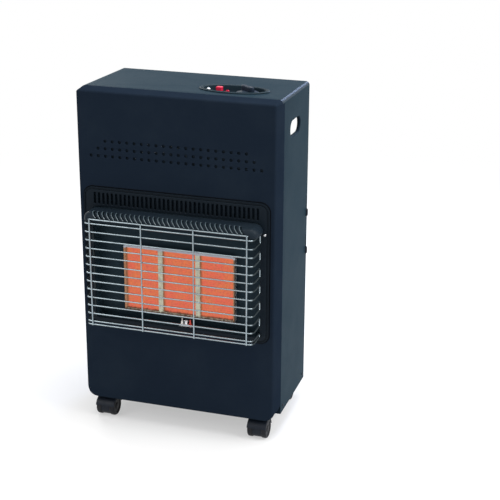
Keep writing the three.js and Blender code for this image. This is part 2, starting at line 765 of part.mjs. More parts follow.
function makeIgniterBody() {
  return bar(buttonX, panelCentreY, 8, valveBottom, valveTop, 12)
    .subtract(bar(buttonX, panelCentreY, 3.3, valveTop - 14, valveTop + 1, 10));
}

function makeIgniterButton() {
  const low = bowlTop + buttonTravel + 0.5;
  const half = buttonSide / 2;
  const cap = prismUp(
    roundedRect(buttonX - half, buttonX + half, panelCentreY - half, panelCentreY + half, 2), low, low + 11, 2);
  return cap.add(bar(buttonX, panelCentreY, 3, valveTop - 9, low + 1, 10));
}

/** The brass hose nozzle under the valve's inlet boss. */
function makeInletNozzle() {
  const top = inletBossBottom - gap;
  const tip = top - inletNozzleLength;
  return turned([
    [0, tip], [5.5, tip], [6, tip + 7.7], [6, top - 12], [10.5, top - 12], [10.5, top], [0, top],
  ], 6, inletX, inletY);
}

// ---------------------------------------------------------------- pipes and hose

// The hose leaves the nozzle downwards, swings out behind the cylinder's shoulder, lies over
// the dome and rises to the regulator. Its points are chosen by hand.
const hoseStart = [inletX, inletY, 636];
const hosePoints = [
  hoseStart, [113, 123, 624], [114, 123.2, 612], [118.5, 124.5, 596.5], [126.5, 128, 580], [137, 133.5, 563.5],
  [148.5, 142, 548], [159, 152.5, 533.5], [168, 166.5, 521.5], [173.6, 183, 513], [175, 202, 509.5],
  [171.6, 221, 510], [163.7, 238.7, 514.3], [152.5, 253.5, 521.8], [139.5, 264.8, 532], [126, 272.5, 543.8],
  [113.5, 277.3, 556.5], [102.5, 280.2, 570.5], [93.2, 280.9, 584.9], [84.6, 279.8, 598.3],
  [76.5, 277.4, 609.5], [68.7, 274, 618], [60.8, 269.9, 624.5], [52.9, 265.5, 628.8], [45, 261, 633],
];
const hoseEnd = hosePoints[hosePoints.length - 1];
const hoseEndDirection = new THREE.Vector3(...hoseEnd)
  .sub(new THREE.Vector3(...hosePoints[hosePoints.length - 2])).normalize();

function makeSupplyPipe() {
  const start = valveBottom - gap;
  const endX = plaquePitch + 14 + gap;
  const endZ = manifoldTop - 6;
  return pipe([
    [supplyX, portY, start], [supplyX, portY, start - 20], [112, 73, start - 50], [124, 60, start - 85],
    [128, 56, start - 110], [128, 56, start - 200], [128, 56, endZ + 70], [128, 55, endZ + 30],
    [122, 50, endZ + 8], [112, 45, endZ], [endX + 6, manifoldY, endZ], [endX, manifoldY, endZ],
  ], 8, 7, 26);
}

/** A thin line from a fitting under the window to a port of the valve, along the right of the burner. */
function thinLine(x, level, riserX, portX, diameter) {
  const start = pilotStub - gap;
  const end = valveBottom - gap;
  return pipe([
    [x, pilotY, start], [x, pilotY + 1, start - 6], [x + 4, pilotY + 8, level + 2], [x + 16, 20, level],
    [riserX - 24, 20, level], [riserX - 6, 30, level + 5], [riserX, 42, level + 20], [riserX, 47, level + 120],
    [riserX, 47, end - 110], [riserX - 4, 56, end - 55], [portX, portY, end - 18], [portX, portY, end],
  ], diameter, 5, 26);
}

function makeThermocouple() {
  const tip = turned([
    [0, pilotStub], [2.4, pilotStub], [2.4, pilotPlateTop + 7], [1.6, pilotPlateTop + 13], [0, pilotPlateTop + 13],
  ], 8, thermocoupleX, pilotY);
  return tip;
}

function makeIgnitionLead() {
  const start = pilotStub - gap;
  const end = valveBottom - gap;
  const low = manifoldTop + 14;
  return pipe([
    [electrodeX, pilotY, start], [electrodeX, pilotY + 1, start - 6], [electrodeX - 5, pilotY + 8, low + 2],
    [electrodeX - 20, 20, low], [-108, 20, low], [-128, 30, low + 5], [-134, 42, low + 20], [-134, 45, low + 160],
    [-134, 45, end - 130], [-124, 52, end - 80], [-70, 70, end - 36], [20, 86, end - 28],
    [buttonX - 8, panelCentreY, end - 22], [buttonX, panelCentreY, end - 12], [buttonX, panelCentreY, end],
  ], 3, 5, 30);
}

/** A worm-drive clamp round the hose, made about the vertical through the origin. */
function makeClamp() {
  const inner = hoseDiameter / 2 + 0.6;
  const band = turned([[inner, -4.5], [inner + 1.2, -4.5], [inner + 1.2, 4.5], [inner, 4.5], [inner, -4.5]], 16);
  const worm = box(inner + 0.4, inner + 6, -6, 6, -3, 3);
  return band.add(worm);
}

// ---------------------------------------------------------------- cylinder

const footTop = 57; // cylinder's lower weld above the base
const shoulderDrop = 178; // collar's top to the dome's shoulder
const domeRise = 97;
const neckRadius = 22;
const baseZ = baseTop + gap;
const shoulderZ = cylinderTop - shoulderDrop;
const cylinderSides = 24;

function domeZ(radius, scale = 1) {
  return shoulderZ + domeRise * scale * Math.sqrt(Math.max(0, 1 - (radius / (cylinderRadius * scale)) ** 2));
}

/** Profile of the cylinder's outside from the middle of its base to the neck. */
function cylinderProfile(inset) {
  const radius = cylinderRadius - inset;
  const profile = [
    [0, baseZ + 20 + inset], [radius * 0.5, baseZ + 26 + inset], [radius * 0.82, baseZ + 40 + inset],
    [radius * 0.975, baseZ + footTop + 3 + inset * 0.5], [radius, baseZ + footTop + 18],
  ];
  for (const share of [1, 0.97, 0.9, 0.78, 0.6, 0.38, 0.16]) {
    const rise = (domeRise - inset) * Math.sqrt(1 - share * share);
    profile.push([radius * share, shoulderZ + rise]);
  }
  return profile;
}

const domeTop = shoulderZ + domeRise * Math.sqrt(1 - 0.16 ** 2);
const neckTop = domeTop + 14;

function makeCylinderBody() {
  const outside = turned([
    ...cylinderProfile(0), [neckRadius, domeTop], [neckRadius, neckTop], [0, neckTop],
  ], cylinderSides, 0, 0);
  const inside = turned([...cylinderProfile(cylinderWall), [0, domeTop - cylinderWall]], cylinderSides);
  const mouth = bar(0, 0, 14, domeTop - 30, neckTop + 1, 16);
  return outside.subtract(inside).subtract(mouth);
}

/** The C-shaped collar, open to the back, with a low band left under the gap. */
function makeCollar() {
  const inner = collarRadius - 2.6;
  const low = domeZ(inner) + gap;
  const ring = turned([
    [inner, low], [collarRadius, low], [collarRadius, cylinderTop], [inner, cylinderTop], [inner, low],
  ], cylinderSides);
  const gapShape = new THREE.Shape();
  const reach = 2 * collarRadius;
  const from = THREE.MathUtils.degToRad(90 - 76);
  const to = THREE.MathUtils.degToRad(90 + 14);
  gapShape.moveTo(0, 0);
  gapShape.lineTo(reach * Math.cos(from), reach * Math.sin(from));
  gapShape.lineTo(reach * Math.cos(to), reach * Math.sin(to));
  return ring.subtract(prismUp(gapShape, low + 8, cylinderTop + 1));
}

/** The foot ring with trapezoid slots under the weld. */
function makeFootRing() {
  const outer = cylinderRadius * 0.975;
  const inner = outer - 2.6;
  const top = baseZ + footTop - 1.5;
  let ring = turned([[inner, baseZ], [outer, baseZ], [outer, top], [inner, top], [inner, baseZ]], cylinderSides);
  const slot = new THREE.Shape();
  slot.moveTo(-20, top - 24);
  slot.lineTo(20, top - 24);
  slot.lineTo(26, top - 8);
  slot.lineTo(-26, top - 8);
  const cutter = new THREE.ExtrudeGeometry(slot, { depth: outer + 10, bevelEnabled: false });
  cutter.rotateX(Math.PI / 2);
  cutter.rotateZ(THREE.MathUtils.degToRad(-15));
  for (let i = 0; i < 6; i += 1) {
    ring = ring.subtract(solid(cutter));
    cutter.rotateZ(Math.PI / 3);
  }
  return ring;
}

const valveSeat = neckTop + gap;
const headBottom = valveSeat + 28;
const headTop = headBottom + 14;
const headRadius = 17.5;

/** The cylinder valve: a stem in the neck, a six-sided body and a round quick-connect head. */
function makeCylinderValve() {
  return join(
    bar(0, 0, 13.7, neckTop - 16, valveSeat + 1, 16),
    bar(0, 0, 18, valveSeat, valveSeat + 8, 6),
    bar(0, 0, 12, valveSeat + 7, headBottom + 1, 12),
    bar(0, 0, headRadius, headBottom, headTop, 16));
}

// ---------------------------------------------------------------- regulator

const regulatorSkirtRadius = 23;
const regulatorDiscRadius = 41;
const discBottom = headTop + 5;
const discTop = discBottom + 24;
const switchZ = headBottom + 2;

/** The clip-on regulator: a skirt over the valve's head, a diaphragm case and a hose nozzle. */
function makeRegulator() {
  const skirt = bar(0, 0, regulatorSkirtRadius, headBottom - 8, discBottom + 2, 20);
  const disc = turned([
    [0, discBottom], [26, discBottom], [regulatorDiscRadius - 3, discBottom + 5], [regulatorDiscRadius, discBottom + 8],
    [regulatorDiscRadius, discBottom + 13], [regulatorDiscRadius - 3, discBottom + 16], [30, discTop - 4],
    [12, discTop], [0, discTop],
  ], 24);
  const socket = bar(0, 0, headRadius + 0.4, headBottom - 9, headTop + gap, 16);
  const azimuth = THREE.MathUtils.degToRad(regulatorNozzleAzimuth);
  const slope = THREE.MathUtils.degToRad(regulatorNozzleSlope);
  const inward = new THREE.Vector3(
    -Math.sin(azimuth) * Math.cos(slope), -Math.cos(azimuth) * Math.cos(slope), Math.sin(slope));
  const tip = new THREE.Vector3(
    regulatorNozzleReach * Math.sin(azimuth), regulatorNozzleReach * Math.cos(azimuth), discBottom + 5.9)
    .addScaledVector(inward, gap);
  const root = tip.clone().addScaledVector(inward, 34);
  const nozzle = wire([tip.toArray(), root.toArray()], 11, 10);
  return join(skirt, disc, nozzle).subtract(socket);
}

/** The regulator's on-off switch, a small knob facing the back. */
function makeRegulatorSwitch() {
  const front = regulatorSkirtRadius + gap;
  const knob = prismBack(obround(0, switchZ, 22, 21.9), front, front + 6, 5);
  const grip = box(-3, 3, front + 5, front + 13, switchZ - 10, switchZ + 10);
  return join(knob, grip);
}

// ---------------------------------------------------------------- belt

const beltZ = zBottom + beltBottom;
const beltTabY = cabinetDepth - 9;

function beltTabLevels() {
  return [beltZ + 4, beltZ + beltHeight - beltTabHeight - 4];
}

/** Half the straight length across the back: each wing runs from there past the cylinder to its column. */
function beltFlatHalf(throat) {
  const stand = cylinderRadius + beltSheet + beltWingClearance;
  const back = cabinetDepth - cylinderFromFront;
  const distance = Math.hypot(throat, back);
  const wingAngle = Math.atan2(back, throat) + Math.acos(stand / distance);
  const rise = beltBack - cylinderFromFront;
  return (stand - rise * Math.sin(wingAngle)) / Math.cos(wingAngle);
}

/** The retaining belt behind the cylinder, with two tabs at each end through the side wall. */
function makeBelt() {
  const throat = halfWidth - columnWidth - 1.5;
  const tuck = throat + 3;
  const flatHalf = beltFlatHalf(throat);
  const plan = new THREE.Shape();
  const band = [
    [flatHalf, beltBack], [throat, cabinetDepth], [tuck, beltTabY],
    [tuck - beltSheet, beltTabY], [throat - beltSheet, cabinetDepth - 1],
    [flatHalf - 0.8, beltBack - beltSheet],
  ];
  const outer = band.slice(0, 3);
  const inner = band.slice(3);
  const mirrored = (points) => points.map(([x, y]) => [-x, y]).reverse();
  const loop = [...mirrored(outer), ...outer, ...inner, ...mirrored(inner)];
  loop.forEach(([x, y], i) => (i === 0 ? plan.moveTo(x, y) : plan.lineTo(x, y)));
  let belt = prismUp(plan, beltZ, beltZ + beltHeight);
  const slotZ = beltZ + beltHeight / 2 + 8;
  belt = belt.subtract(prismBack(
    obround(0, slotZ, beltSlotLength, beltSlotHeight), beltBack - 10, beltBack + 10, 5));
  for (const z of beltTabLevels()) {
    for (const side of [-1, 1]) {
      const ends = [side * (tuck - beltSheet), side * (halfWidth + beltTabReach)].sort((a, b) => a - b);
      belt = belt.add(box(ends[0], ends[1], beltTabY, beltTabY + beltSheet, z, z + beltTabHeight));
    }
  }
  return belt;
}

// ---------------------------------------------------------------- castors

// Each castor is made about its swivel axis, with its wheels trailing towards +Y.
const plateTop = baseTop - sheet - gap;
const plateBottom = plateTop - 2;
const cupBottom = plateBottom - 5.5;
const turntableTop = cupBottom - gap;
const hubHalf = castorTrack / 2 - castorWheelWidth; // middle of the hood, between the wheels
const axleZ = castorWheelRadius;
const wheelCorner = castorWheelRadius / Math.cos(Math.PI / castorFacets);

function makeCastorPlate() {
  return join(
    prismUp(roundedRect(-20, 20, -20, 20, 4), plateBottom, plateTop, 1),
    bar(0, 0, 14, cupBottom, plateBottom + 1, 14),
    bar(0, 0, 4, axleZ + 12, cupBottom + 1, 10));
}

function makeCastorHood() {
  const web = hubHalf - gap;
  const side = new THREE.Shape();
  side.moveTo(-11, turntableTop);
  side.lineTo(-11, turntableTop - 5);
  side.lineTo(castorTrail - castorWheelRadius + 1, axleZ);
  side.absarc(castorTrail, axleZ, castorWheelRadius - 1.5, Math.PI, 2.35 * Math.PI);
  side.lineTo(castorTrail - 2, turntableTop - 5);
  side.lineTo(11, turntableTop);
  const fender = new THREE.Shape();
  const inner = wheelCorner + gap;
  const outer = inner + 1.8;
  const from = THREE.MathUtils.degToRad(18);
  const to = THREE.MathUtils.degToRad(172);
  fender.absarc(castorTrail, axleZ, outer, from, to);
  fender.absarc(castorTrail, axleZ, inner, to, from, true);
  return join(
    prismAcross(side, -web, web, 3),
    prismAcross(fender, -castorTrack / 2, castorTrack / 2, 5),
    bar(0, 0, 13, turntableTop - 4, turntableTop, 14))
    .subtract(bar(0, 0, 4.3, axleZ + 11.5, turntableTop + 1, 10))
    .subtract(barAcross(-web - 1, web + 1, castorTrail, axleZ, 3.3, 10));
}

/** One wheel. The right one carries the axle, and the left one has the blind bore for it. */
function makeCastorWheel(side) {
  const inner = hubHalf;
  const outer = inner + castorWheelWidth;
  const rim = outer - 2.5;
  const span = (from, to) => [side * from, side * to].sort((a, b) => a - b);
  const face = (from, to, radius) => {
    const [low, high] = span(from, to);
    return barAcross(low, high, castorTrail, axleZ, radius, castorFacets);
  };
  const wheel = join(face(inner, rim, wheelCorner), face(rim - 0.5, outer, wheelCorner - 3));
  if (side > 0) return wheel.add(barAcross(-inner - 6, inner + 1, castorTrail, axleZ, 3, 10));
  return wheel.subtract(barAcross(-inner - 6.3, -inner + 1, castorTrail, axleZ, 3.3, 10));
}

const castorPlaces = [
  { name: 'front_left', x: -halfWidth + castorFromSide, y: castorFromFront, turn: 180 },
  { name: 'front_right', x: halfWidth - castorFromSide, y: castorFromFront, turn: 180 },
  { name: 'rear_left', x: -halfWidth + castorFromSide, y: cabinetDepth - rearCastorFromBack, turn: 0 },
  { name: 'rear_right', x: halfWidth - castorFromSide, y: cabinetDepth - rearCastorFromBack, turn: 0 },
  { name: 'tail', x: 0, y: cylinderFromFront + platformRadius - tailCastorFromRim, turn: 0 },
];

// ---------------------------------------------------------------- assembly

addPart(heater, 'cabinet_shell', makeShell(), paint.cabinet);
addPart(heater, 'front_panel', makeFrontPanel(), paint.cabinet);
addPart(heater, 'base_pan', makeBasePan(), paint.cabinet);
addPart(heater, 'rear_platform', makePlatform(), paint.cabinet);
addPart(heater, 'heat_shield', makeHeatShield(), paint.galvanised);

addPart(heater, 'burner_surround', makeBezel(), paint.blackEnamel);
addPart(heater, 'burner_housing', makeHousing(), paint.blackEnamel);
addPart(heater, 'deflector_hood', makeHood(), paint.blackEnamel);
addPart(heater, 'wire_guard', makeGuard(), paint.chrome);
addPart(heater, 'burner_plenum', makePlenum(), paint.galvanised);
addPart(heater, 'plaque_left', makePlaque(-1), paint.ceramic);
addPart(heater, 'plaque_centre', makePlaque(0), paint.ceramic);
addPart(heater, 'plaque_right', makePlaque(1), paint.ceramic);
addPart(heater, 'burner_frame', makeBurnerFrame(), paint.burnerSteel);
addPart(heater, 'gas_manifold', makeManifold(), paint.brass);
addPart(heater, 'pilot_burner', makePilotBurner(), paint.burnerSteel);
addPart(heater, 'spark_electrode', makeElectrode(), paint.whiteCeramic);
addPart(heater, 'thermocouple', makeThermocouple(), paint.copper);

addPart(heater, 'gas_valve', makeGasValve(), paint.zinc);
addPart(heater, 'valve_spindle', makeSpindle(), paint.brass);
addPart(heater, 'control_panel', makeControlPanel(), paint.cabinet);
addPart(heater, 'control_knob', makeKnob(), paint.blackPlastic);
addPart(heater, 'igniter_body', makeIgniterBody(), paint.blackPlastic);
addPart(heater, 'igniter_button', makeIgniterButton(), paint.redPlastic);
addPart(heater, 'inlet_nozzle', makeInletNozzle(), paint.brass);

const lineLevel = manifoldTop + 10;
addPart(heater, 'supply_pipe', makeSupplyPipe(), paint.galvanised);
addPart(heater, 'pilot_pipe', thinLine(pilotX, lineLevel - 6, 139, pilotPortX, 4), paint.copper);
addPart(heater, 'thermocouple_lead', thinLine(thermocoupleX, lineLevel + 4, 148, thermoPortX, 2.6), paint.copper);
addPart(heater, 'ignition_lead', makeIgnitionLead(), paint.blackPlastic);
addPart(heater, 'gas_hose', pipe(hosePoints, hoseDiameter, 8, 34), paint.hose);

const valveClamp = new THREE.Group();
valveClamp.position.set(inletX, inletY, hoseStart[2] - 9);
valveClamp.rotation.z = Math.PI / 2;
addPart(valveClamp, 'hose_clamp_valve', makeClamp(), paint.chrome);
heater.add(valveClamp);

const regulatorClamp = new THREE.Group();
regulatorClamp.position.set(...hoseEnd).addScaledVector(hoseEndDirection, -8);
regulatorClamp.quaternion.setFromUnitVectors(new THREE.Vector3(0, 0, 1), hoseEndDirection);
addPart(regulatorClamp, 'hose_clamp_regulator', makeClamp(), paint.chrome);
heater.add(regulatorClamp);

const cylinder = new THREE.Group();
cylinder.position.y = cylinderFromFront;
addPart(cylinder, 'cylinder_body', makeCylinderBody(), paint.blueEnamel);
addPart(cylinder, 'cylinder_collar', makeCollar(), paint.blueEnamel);
addPart(cylinder, 'cylinder_foot_ring', makeFootRing(), paint.blueEnamel);
addPart(cylinder, 'cylinder_valve', makeCylinderValve(), paint.brass);
addPart(cylinder, 'regulator_body', makeRegulator(), paint.zinc);
addPart(cylinder, 'regulator_switch', makeRegulatorSwitch(), paint.blackPlastic);
heater.add(cylinder);

addPart(heater, 'retaining_belt', makeBelt(), paint.cabinet);

for (const { name, x, y, turn } of castorPlaces) {
  const castor = new THREE.Group();
  castor.position.set(x, y, 0);
  castor.rotation.z = THREE.MathUtils.degToRad(turn);
  addPart(castor, `castor_${name}_plate`, makeCastorPlate(), paint.galvanised);
  addPart(castor, `castor_${name}_hood`, makeCastorHood(), paint.blackPlastic);
  addPart(castor, `castor_${name}_wheel_a`, makeCastorWheel(1), paint.tyre);
  addPart(castor, `castor_${name}_wheel_b`, makeCastorWheel(-1), paint.tyre);
  heater.add(castor);
}

// The origin is on the floor, under the middle of the whole width and depth.
heater.updateMatrixWorld(true);
const bounds = new THREE.Box3().setFromObject(heater, true);
const middle = bounds.getCenter(new THREE.Vector3());
heater.position.set(-middle.x, -middle.y, 0);

export default heater;
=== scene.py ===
"""Looks of the portable gas cabinet heater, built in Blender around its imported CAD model.

Shapes are worked out in millimetres in the part's own coordinates: X to the right of someone
who faces the burner, Y back from the face of the front panel, Z up from the floor. `place`
brings them to the row frame in metres.
"""

import math

import bmesh
import bpy
import numpy as np
from mathutils import Matrix, Vector
from mathutils.geometry import tessellate_polygon


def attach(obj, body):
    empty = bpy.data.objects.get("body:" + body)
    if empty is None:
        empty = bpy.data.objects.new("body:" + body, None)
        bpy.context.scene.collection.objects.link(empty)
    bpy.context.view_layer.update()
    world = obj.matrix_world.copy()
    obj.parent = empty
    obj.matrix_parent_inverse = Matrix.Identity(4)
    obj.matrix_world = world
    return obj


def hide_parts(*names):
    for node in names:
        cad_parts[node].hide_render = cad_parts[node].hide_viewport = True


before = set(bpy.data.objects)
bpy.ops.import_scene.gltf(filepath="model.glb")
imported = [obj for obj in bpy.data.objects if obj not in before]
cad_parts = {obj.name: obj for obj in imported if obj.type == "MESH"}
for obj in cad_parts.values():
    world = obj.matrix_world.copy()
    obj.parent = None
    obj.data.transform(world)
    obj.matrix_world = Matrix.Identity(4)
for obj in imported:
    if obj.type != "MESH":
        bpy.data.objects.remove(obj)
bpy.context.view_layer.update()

FACE_TO_MIDDLE = 179.2932  # face of the front panel to the middle of the row frame


def place(points):
    """Points in the part's millimetres, moved to the row frame in metres."""
    return (np.asarray(points, float) - (0.0, FACE_TO_MIDDLE, 0.0)) * 0.001


# ---------------------------------------------------------------- camera

IMAGE_SIDE = 500
CAMERA_FOCUS = 1130.0  # focal length in pixels
CAMERA_PLACE = (791.0, -1997.0, 1132.0 + 46.0)
CAMERA_TURN = (-15.01, 17.32, 1.11)  # degrees: yaw, downward pitch, roll
CAMERA_CENTRE = (300.0, 200.0)  # pixel that the optical axis meets


def add_camera():
    yaw, pitch, roll = (math.radians(angle) for angle in CAMERA_TURN)
    forward = Vector((math.sin(yaw) * math.cos(pitch), math.cos(yaw) * math.cos(pitch), -math.sin(pitch)))
    level = Vector((math.cos(yaw), -math.sin(yaw), 0.0))
    upright = level.cross(forward)
    right = level * math.cos(roll) + upright * math.sin(roll)
    up = upright * math.cos(roll) - level * math.sin(roll)
    camera = bpy.data.cameras.new("camera")
    camera.sensor_width = 36.0
    camera.lens = CAMERA_FOCUS / IMAGE_SIDE * camera.sensor_width
    camera.shift_x = 0.5 - CAMERA_CENTRE[0] / IMAGE_SIDE
    camera.shift_y = CAMERA_CENTRE[1] / IMAGE_SIDE - 0.5
    camera.clip_start, camera.clip_end = 0.05, 60.0
    view = bpy.data.objects.new("camera", camera)
    turn = Matrix((right, up, -forward)).transposed()
    view.matrix_world = Matrix.Translation(place(CAMERA_PLACE)) @ turn.to_4x4()
    bpy.context.scene.collection.objects.link(view)
    bpy.context.scene.camera = view


# ---------------------------------------------------------------- shader expressions


class Signal:
    """A shader socket that Python arithmetic works on: each operator adds its Math node."""

    def __init__(self, finish, socket):
        self.finish, self.socket = finish, socket

    def _with(self, operation, *others):
        return self.finish.add("ShaderNodeMath", {"operation": operation}, [self, *others])

    def __add__(self, other):
        return self._with("ADD", other)

    def __mul__(self, other):
        return self._with("MULTIPLY", other)

    def __sub__(self, other):
        return self._with("SUBTRACT", other)

    def __truediv__(self, other):
        return self._with("DIVIDE", other)

    def __pow__(self, other):
        return self._with("POWER", other)

    def __rsub__(self, other):
        return self.finish.add("ShaderNodeMath", {"operation": "SUBTRACT"}, [other, self])

    def __gt__(self, other):
        return self._with("GREATER_THAN", other)

    def __lt__(self, other):
        return self._with("LESS_THAN", other)

    __radd__, __rmul__ = __add__, __mul__

    def sine(self):
        return self._with("SINE")

    def size(self):
        return self._with("ABSOLUTE")

    def least(self, other):
        return self._with("MINIMUM", other)

    def most(self, other):
        return self._with("MAXIMUM", other)

    def span(self, low, high, start=0.0, end=1.0):
        """This value, clamped between low and high and stretched from start to end."""
        settings = {"interpolation_type": "SMOOTHSTEP"}
        return self.finish.add("ShaderNodeMapRange", settings, [self, low, high, start, end])


class Finish:
    """One material: a Principled shader, and the nodes that feed it."""

    def __init__(self, name, **fixed):
        self.material = bpy.data.materials.new(name)
        self.material.use_nodes = True
        self.tree = self.material.node_tree
        self.shader = self.tree.nodes["Principled BSDF"]
        self.place = self.add("ShaderNodeTexCoord", {}, {}, "Object")
        for label, value in fixed.items():
            self.feed(label.replace("_", " "), value)

    def _set(self, socket, value):
        if isinstance(value, Signal):
            self.tree.links.new(value.socket, socket)
        elif isinstance(value, (tuple, list)) and len(value) == 3 and len(socket.default_value) == 4:
            socket.default_value = (*value, 1.0)
        else:
            socket.default_value = value

    def add(self, kind, settings, values=(), output=0):
        """Adds a node of a kind with its settings, and the values or links of its sockets."""
        node = self.tree.nodes.new(kind)
        stops = settings.pop("stops", None) if settings else None
        for label, value in (settings or {}).items():
            setattr(node, label, value)
        if stops:
            ramp = node.color_ramp
            while len(ramp.elements) < len(stops):
                ramp.elements.new(1.0)
            for element, (at, colour) in zip(ramp.elements, stops):
                element.position, element.color = at, (*colour, 1.0)
        pairs = values.items() if isinstance(values, dict) else enumerate(values)
        for label, value in pairs:
            self._set(node.inputs[label], value)
        return Signal(self, node.outputs[output])

    def feed(self, label, value):
        """Sets or links a socket of the shader."""
        self._set(self.shader.inputs[label], value)

    def noise(self, scale, detail=3.0, roughness=0.5, at=None, output=0):
        """Noise whose features are about 1 / scale metres across."""
        values = {"Vector": at or self.place, "Scale": scale, "Detail": detail, "Roughness": roughness}
        return self.add("ShaderNodeTexNoise", {}, values, output)

    def cells(self, scale, feature="F1", output="Distance", at=None):
        return self.add("ShaderNodeTexVoronoi", {"feature": feature}, {"Vector": at or self.place, "Scale": scale}, output)

    def stretched(self, x, y, z):
        """Object coordinates, stretched along each axis."""
        return self.add("ShaderNodeMapping", {}, {"Vector": self.place, "Scale": (x, y, z)})

    def axis(self, index):
        return self.add("ShaderNodeSeparateXYZ", {}, [self.place], index)

    def mix(self, share, first, second):
        """The first colour where share is 0, and the second where it is 1."""
        settings = {"data_type": "RGBA"}
        return self.add("ShaderNodeMix", settings, {0: share, 6: first, 7: second}, 2)

    def bump(self, height, strength, depth, under=None):
        """Shades the surface as if height raised it by depth in metres."""
        values = {"Height": height, "Strength": strength, "Distance": depth}
        if under is not None:
            values["Normal"] = under
        return self.add("ShaderNodeBump", {}, values)


# ---------------------------------------------------------------- finishes


def worn(finish, base, dust, amount, scale=9.0):
    """A base colour with soft clouds of a dustier one."""
    cloud = finish.noise(scale, 5.0, 0.6).span(0.45, 0.75)
    return finish.mix(cloud * amount, base, dust)


def powder_coat(name, base, dust, gloss, specular, sheen=0.0, shine=0.0):
    """Powder coat on steel: fine orange peel, cloudy gloss and a few hairline scratches. The cabinet's
    long upper edges are rubbed shiny."""
    finish = Finish(
        name, Specular_IOR_Level=specular, Sheen_Weight=sheen, Sheen_Roughness=0.4, Coat_Roughness=0.5)
    finish.feed("Sheen Tint", (0.20, 0.62, 0.74))
    if shine:
        rubbed = finish.axis(0).size().span(0.2030, 0.2050) * finish.axis(2).span(0.7105, 0.7125)
        finish.feed("Coat Weight", rubbed * shine)
    scratches = finish.noise(60.0, 2.0, 0.5, finish.stretched(1.0, 1.0, 14.0)).span(0.70, 0.74)
    finish.feed("Base Color", finish.mix(scratches * 0.25, worn(finish, base, dust, 0.35), dust))
    finish.feed("Roughness", finish.noise(14.0, 4.0) * 0.16 + (gloss - 0.08) + scratches * 0.1)
    peel = finish.bump(finish.noise(520.0, 2.0, 0.5), 0.22, 0.0004)
    finish.feed("Normal", finish.bump(finish.noise(38.0, 2.0, 0.4), 0.10, 0.0012, peel))
    return finish.material


def bare_metal(name, base, stain, gloss, grain=(1.0, 1.0, 1.0), depth=0.12):
    """Bare or plated metal: stains, and fine marks drawn out along its grain."""
    finish = Finish(name, Metallic=1.0)
    marks = finish.noise(900.0, 3.0, 0.6, finish.stretched(*grain))
    cloud = finish.noise(55.0, 4.0, 0.6).span(0.5, 0.8)
    finish.feed("Base Color", finish.mix(cloud * 0.6, base, stain))
    finish.feed("Roughness", marks * 0.14 + cloud * 0.16 + (gloss - 0.07))
    finish.feed("Normal", finish.bump(marks, depth, 0.0003))
    return finish.material


def guard_wire():
    """Chromed wire, bright in front and at the bezel on the right, with painted shade: where it runs back past the hood
    it is near black and hardly metallic, as if in shadow.
    """
    finish = Finish("guard_wire", Specular_IOR_Level=0.0)
    marks = finish.noise(900.0, 3.0, 0.6, finish.stretched(1.0, 1.0, 1.0))
    cloud = finish.noise(55.0, 4.0, 0.6).span(0.45, 0.75)
    depth = finish.axis(1) + FACE_TO_MIDDLE / 1000
    outer = finish.axis(0).size().span(0.1740, 0.1770)
    ends = depth.span(-0.0095, -0.0075) * finish.axis(0).span(0.10, 0.12)
    # painted shade: the runs back past the hood and round the outer ends, but not the right-hand ends by the bezel
    painted_shade = depth.span(-0.044, -0.039).most(outer) * (ends * -1.0 + 1.0)
    bright = finish.mix(cloud * 0.7, (0.31, 0.37, 0.40), (0.19, 0.235, 0.265))
    finish.feed("Metallic", painted_shade * -0.95 + 1.0)
    finish.feed("Base Color", finish.mix(painted_shade * 0.95, bright, (0.018, 0.024, 0.027)))
    finish.feed("Roughness", marks * 0.14 + cloud * 0.16 + 0.13 + painted_shade * 0.25)
    finish.feed("Normal", finish.bump(marks, 0.10, 0.0003))
    return finish.material


def galvanised_steel():
    """Zinc-coated sheet: crystals of slightly different grey, 12 mm or so across."""
    finish = Finish("galvanised_steel", Metallic=0.30, Specular_IOR_Level=0.4)
    crystal = finish.add("ShaderNodeSeparateColor", {}, [finish.cells(95.0, output="Color")])
    cloud = finish.noise(16.0, 4.0)
    tone = crystal * 0.5 + cloud * 0.5
    finish.feed("Base Color", finish.mix(tone.span(0.25, 0.75), (0.52, 0.56, 0.57), (0.72, 0.76, 0.77)))
    finish.feed("Roughness", crystal * 0.16 + cloud * 0.14 + 0.26)
    finish.feed("Normal", finish.bump(finish.noise(700.0, 2.0), 0.10, 0.0003))
    return finish.material


def moulded(name, base, pale, gloss, grain=1400.0, strength=0.18, specular=0.15):
    """Moulded plastic or nylon with a fine spark-eroded grain and paler rubbed patches."""
    finish = Finish(name, Specular_IOR_Level=specular)
    rubbed = finish.noise(70.0, 4.0, 0.6).span(0.52, 0.72)
    finish.feed("Base Color", finish.mix(rubbed * 0.35, base, pale))
    finish.feed("Roughness", finish.noise(90.0, 3.0) * 0.2 + (gloss - 0.1))
    finish.feed("Normal", finish.bump(finish.noise(grain, 2.0), strength, 0.00025))
    return finish.material


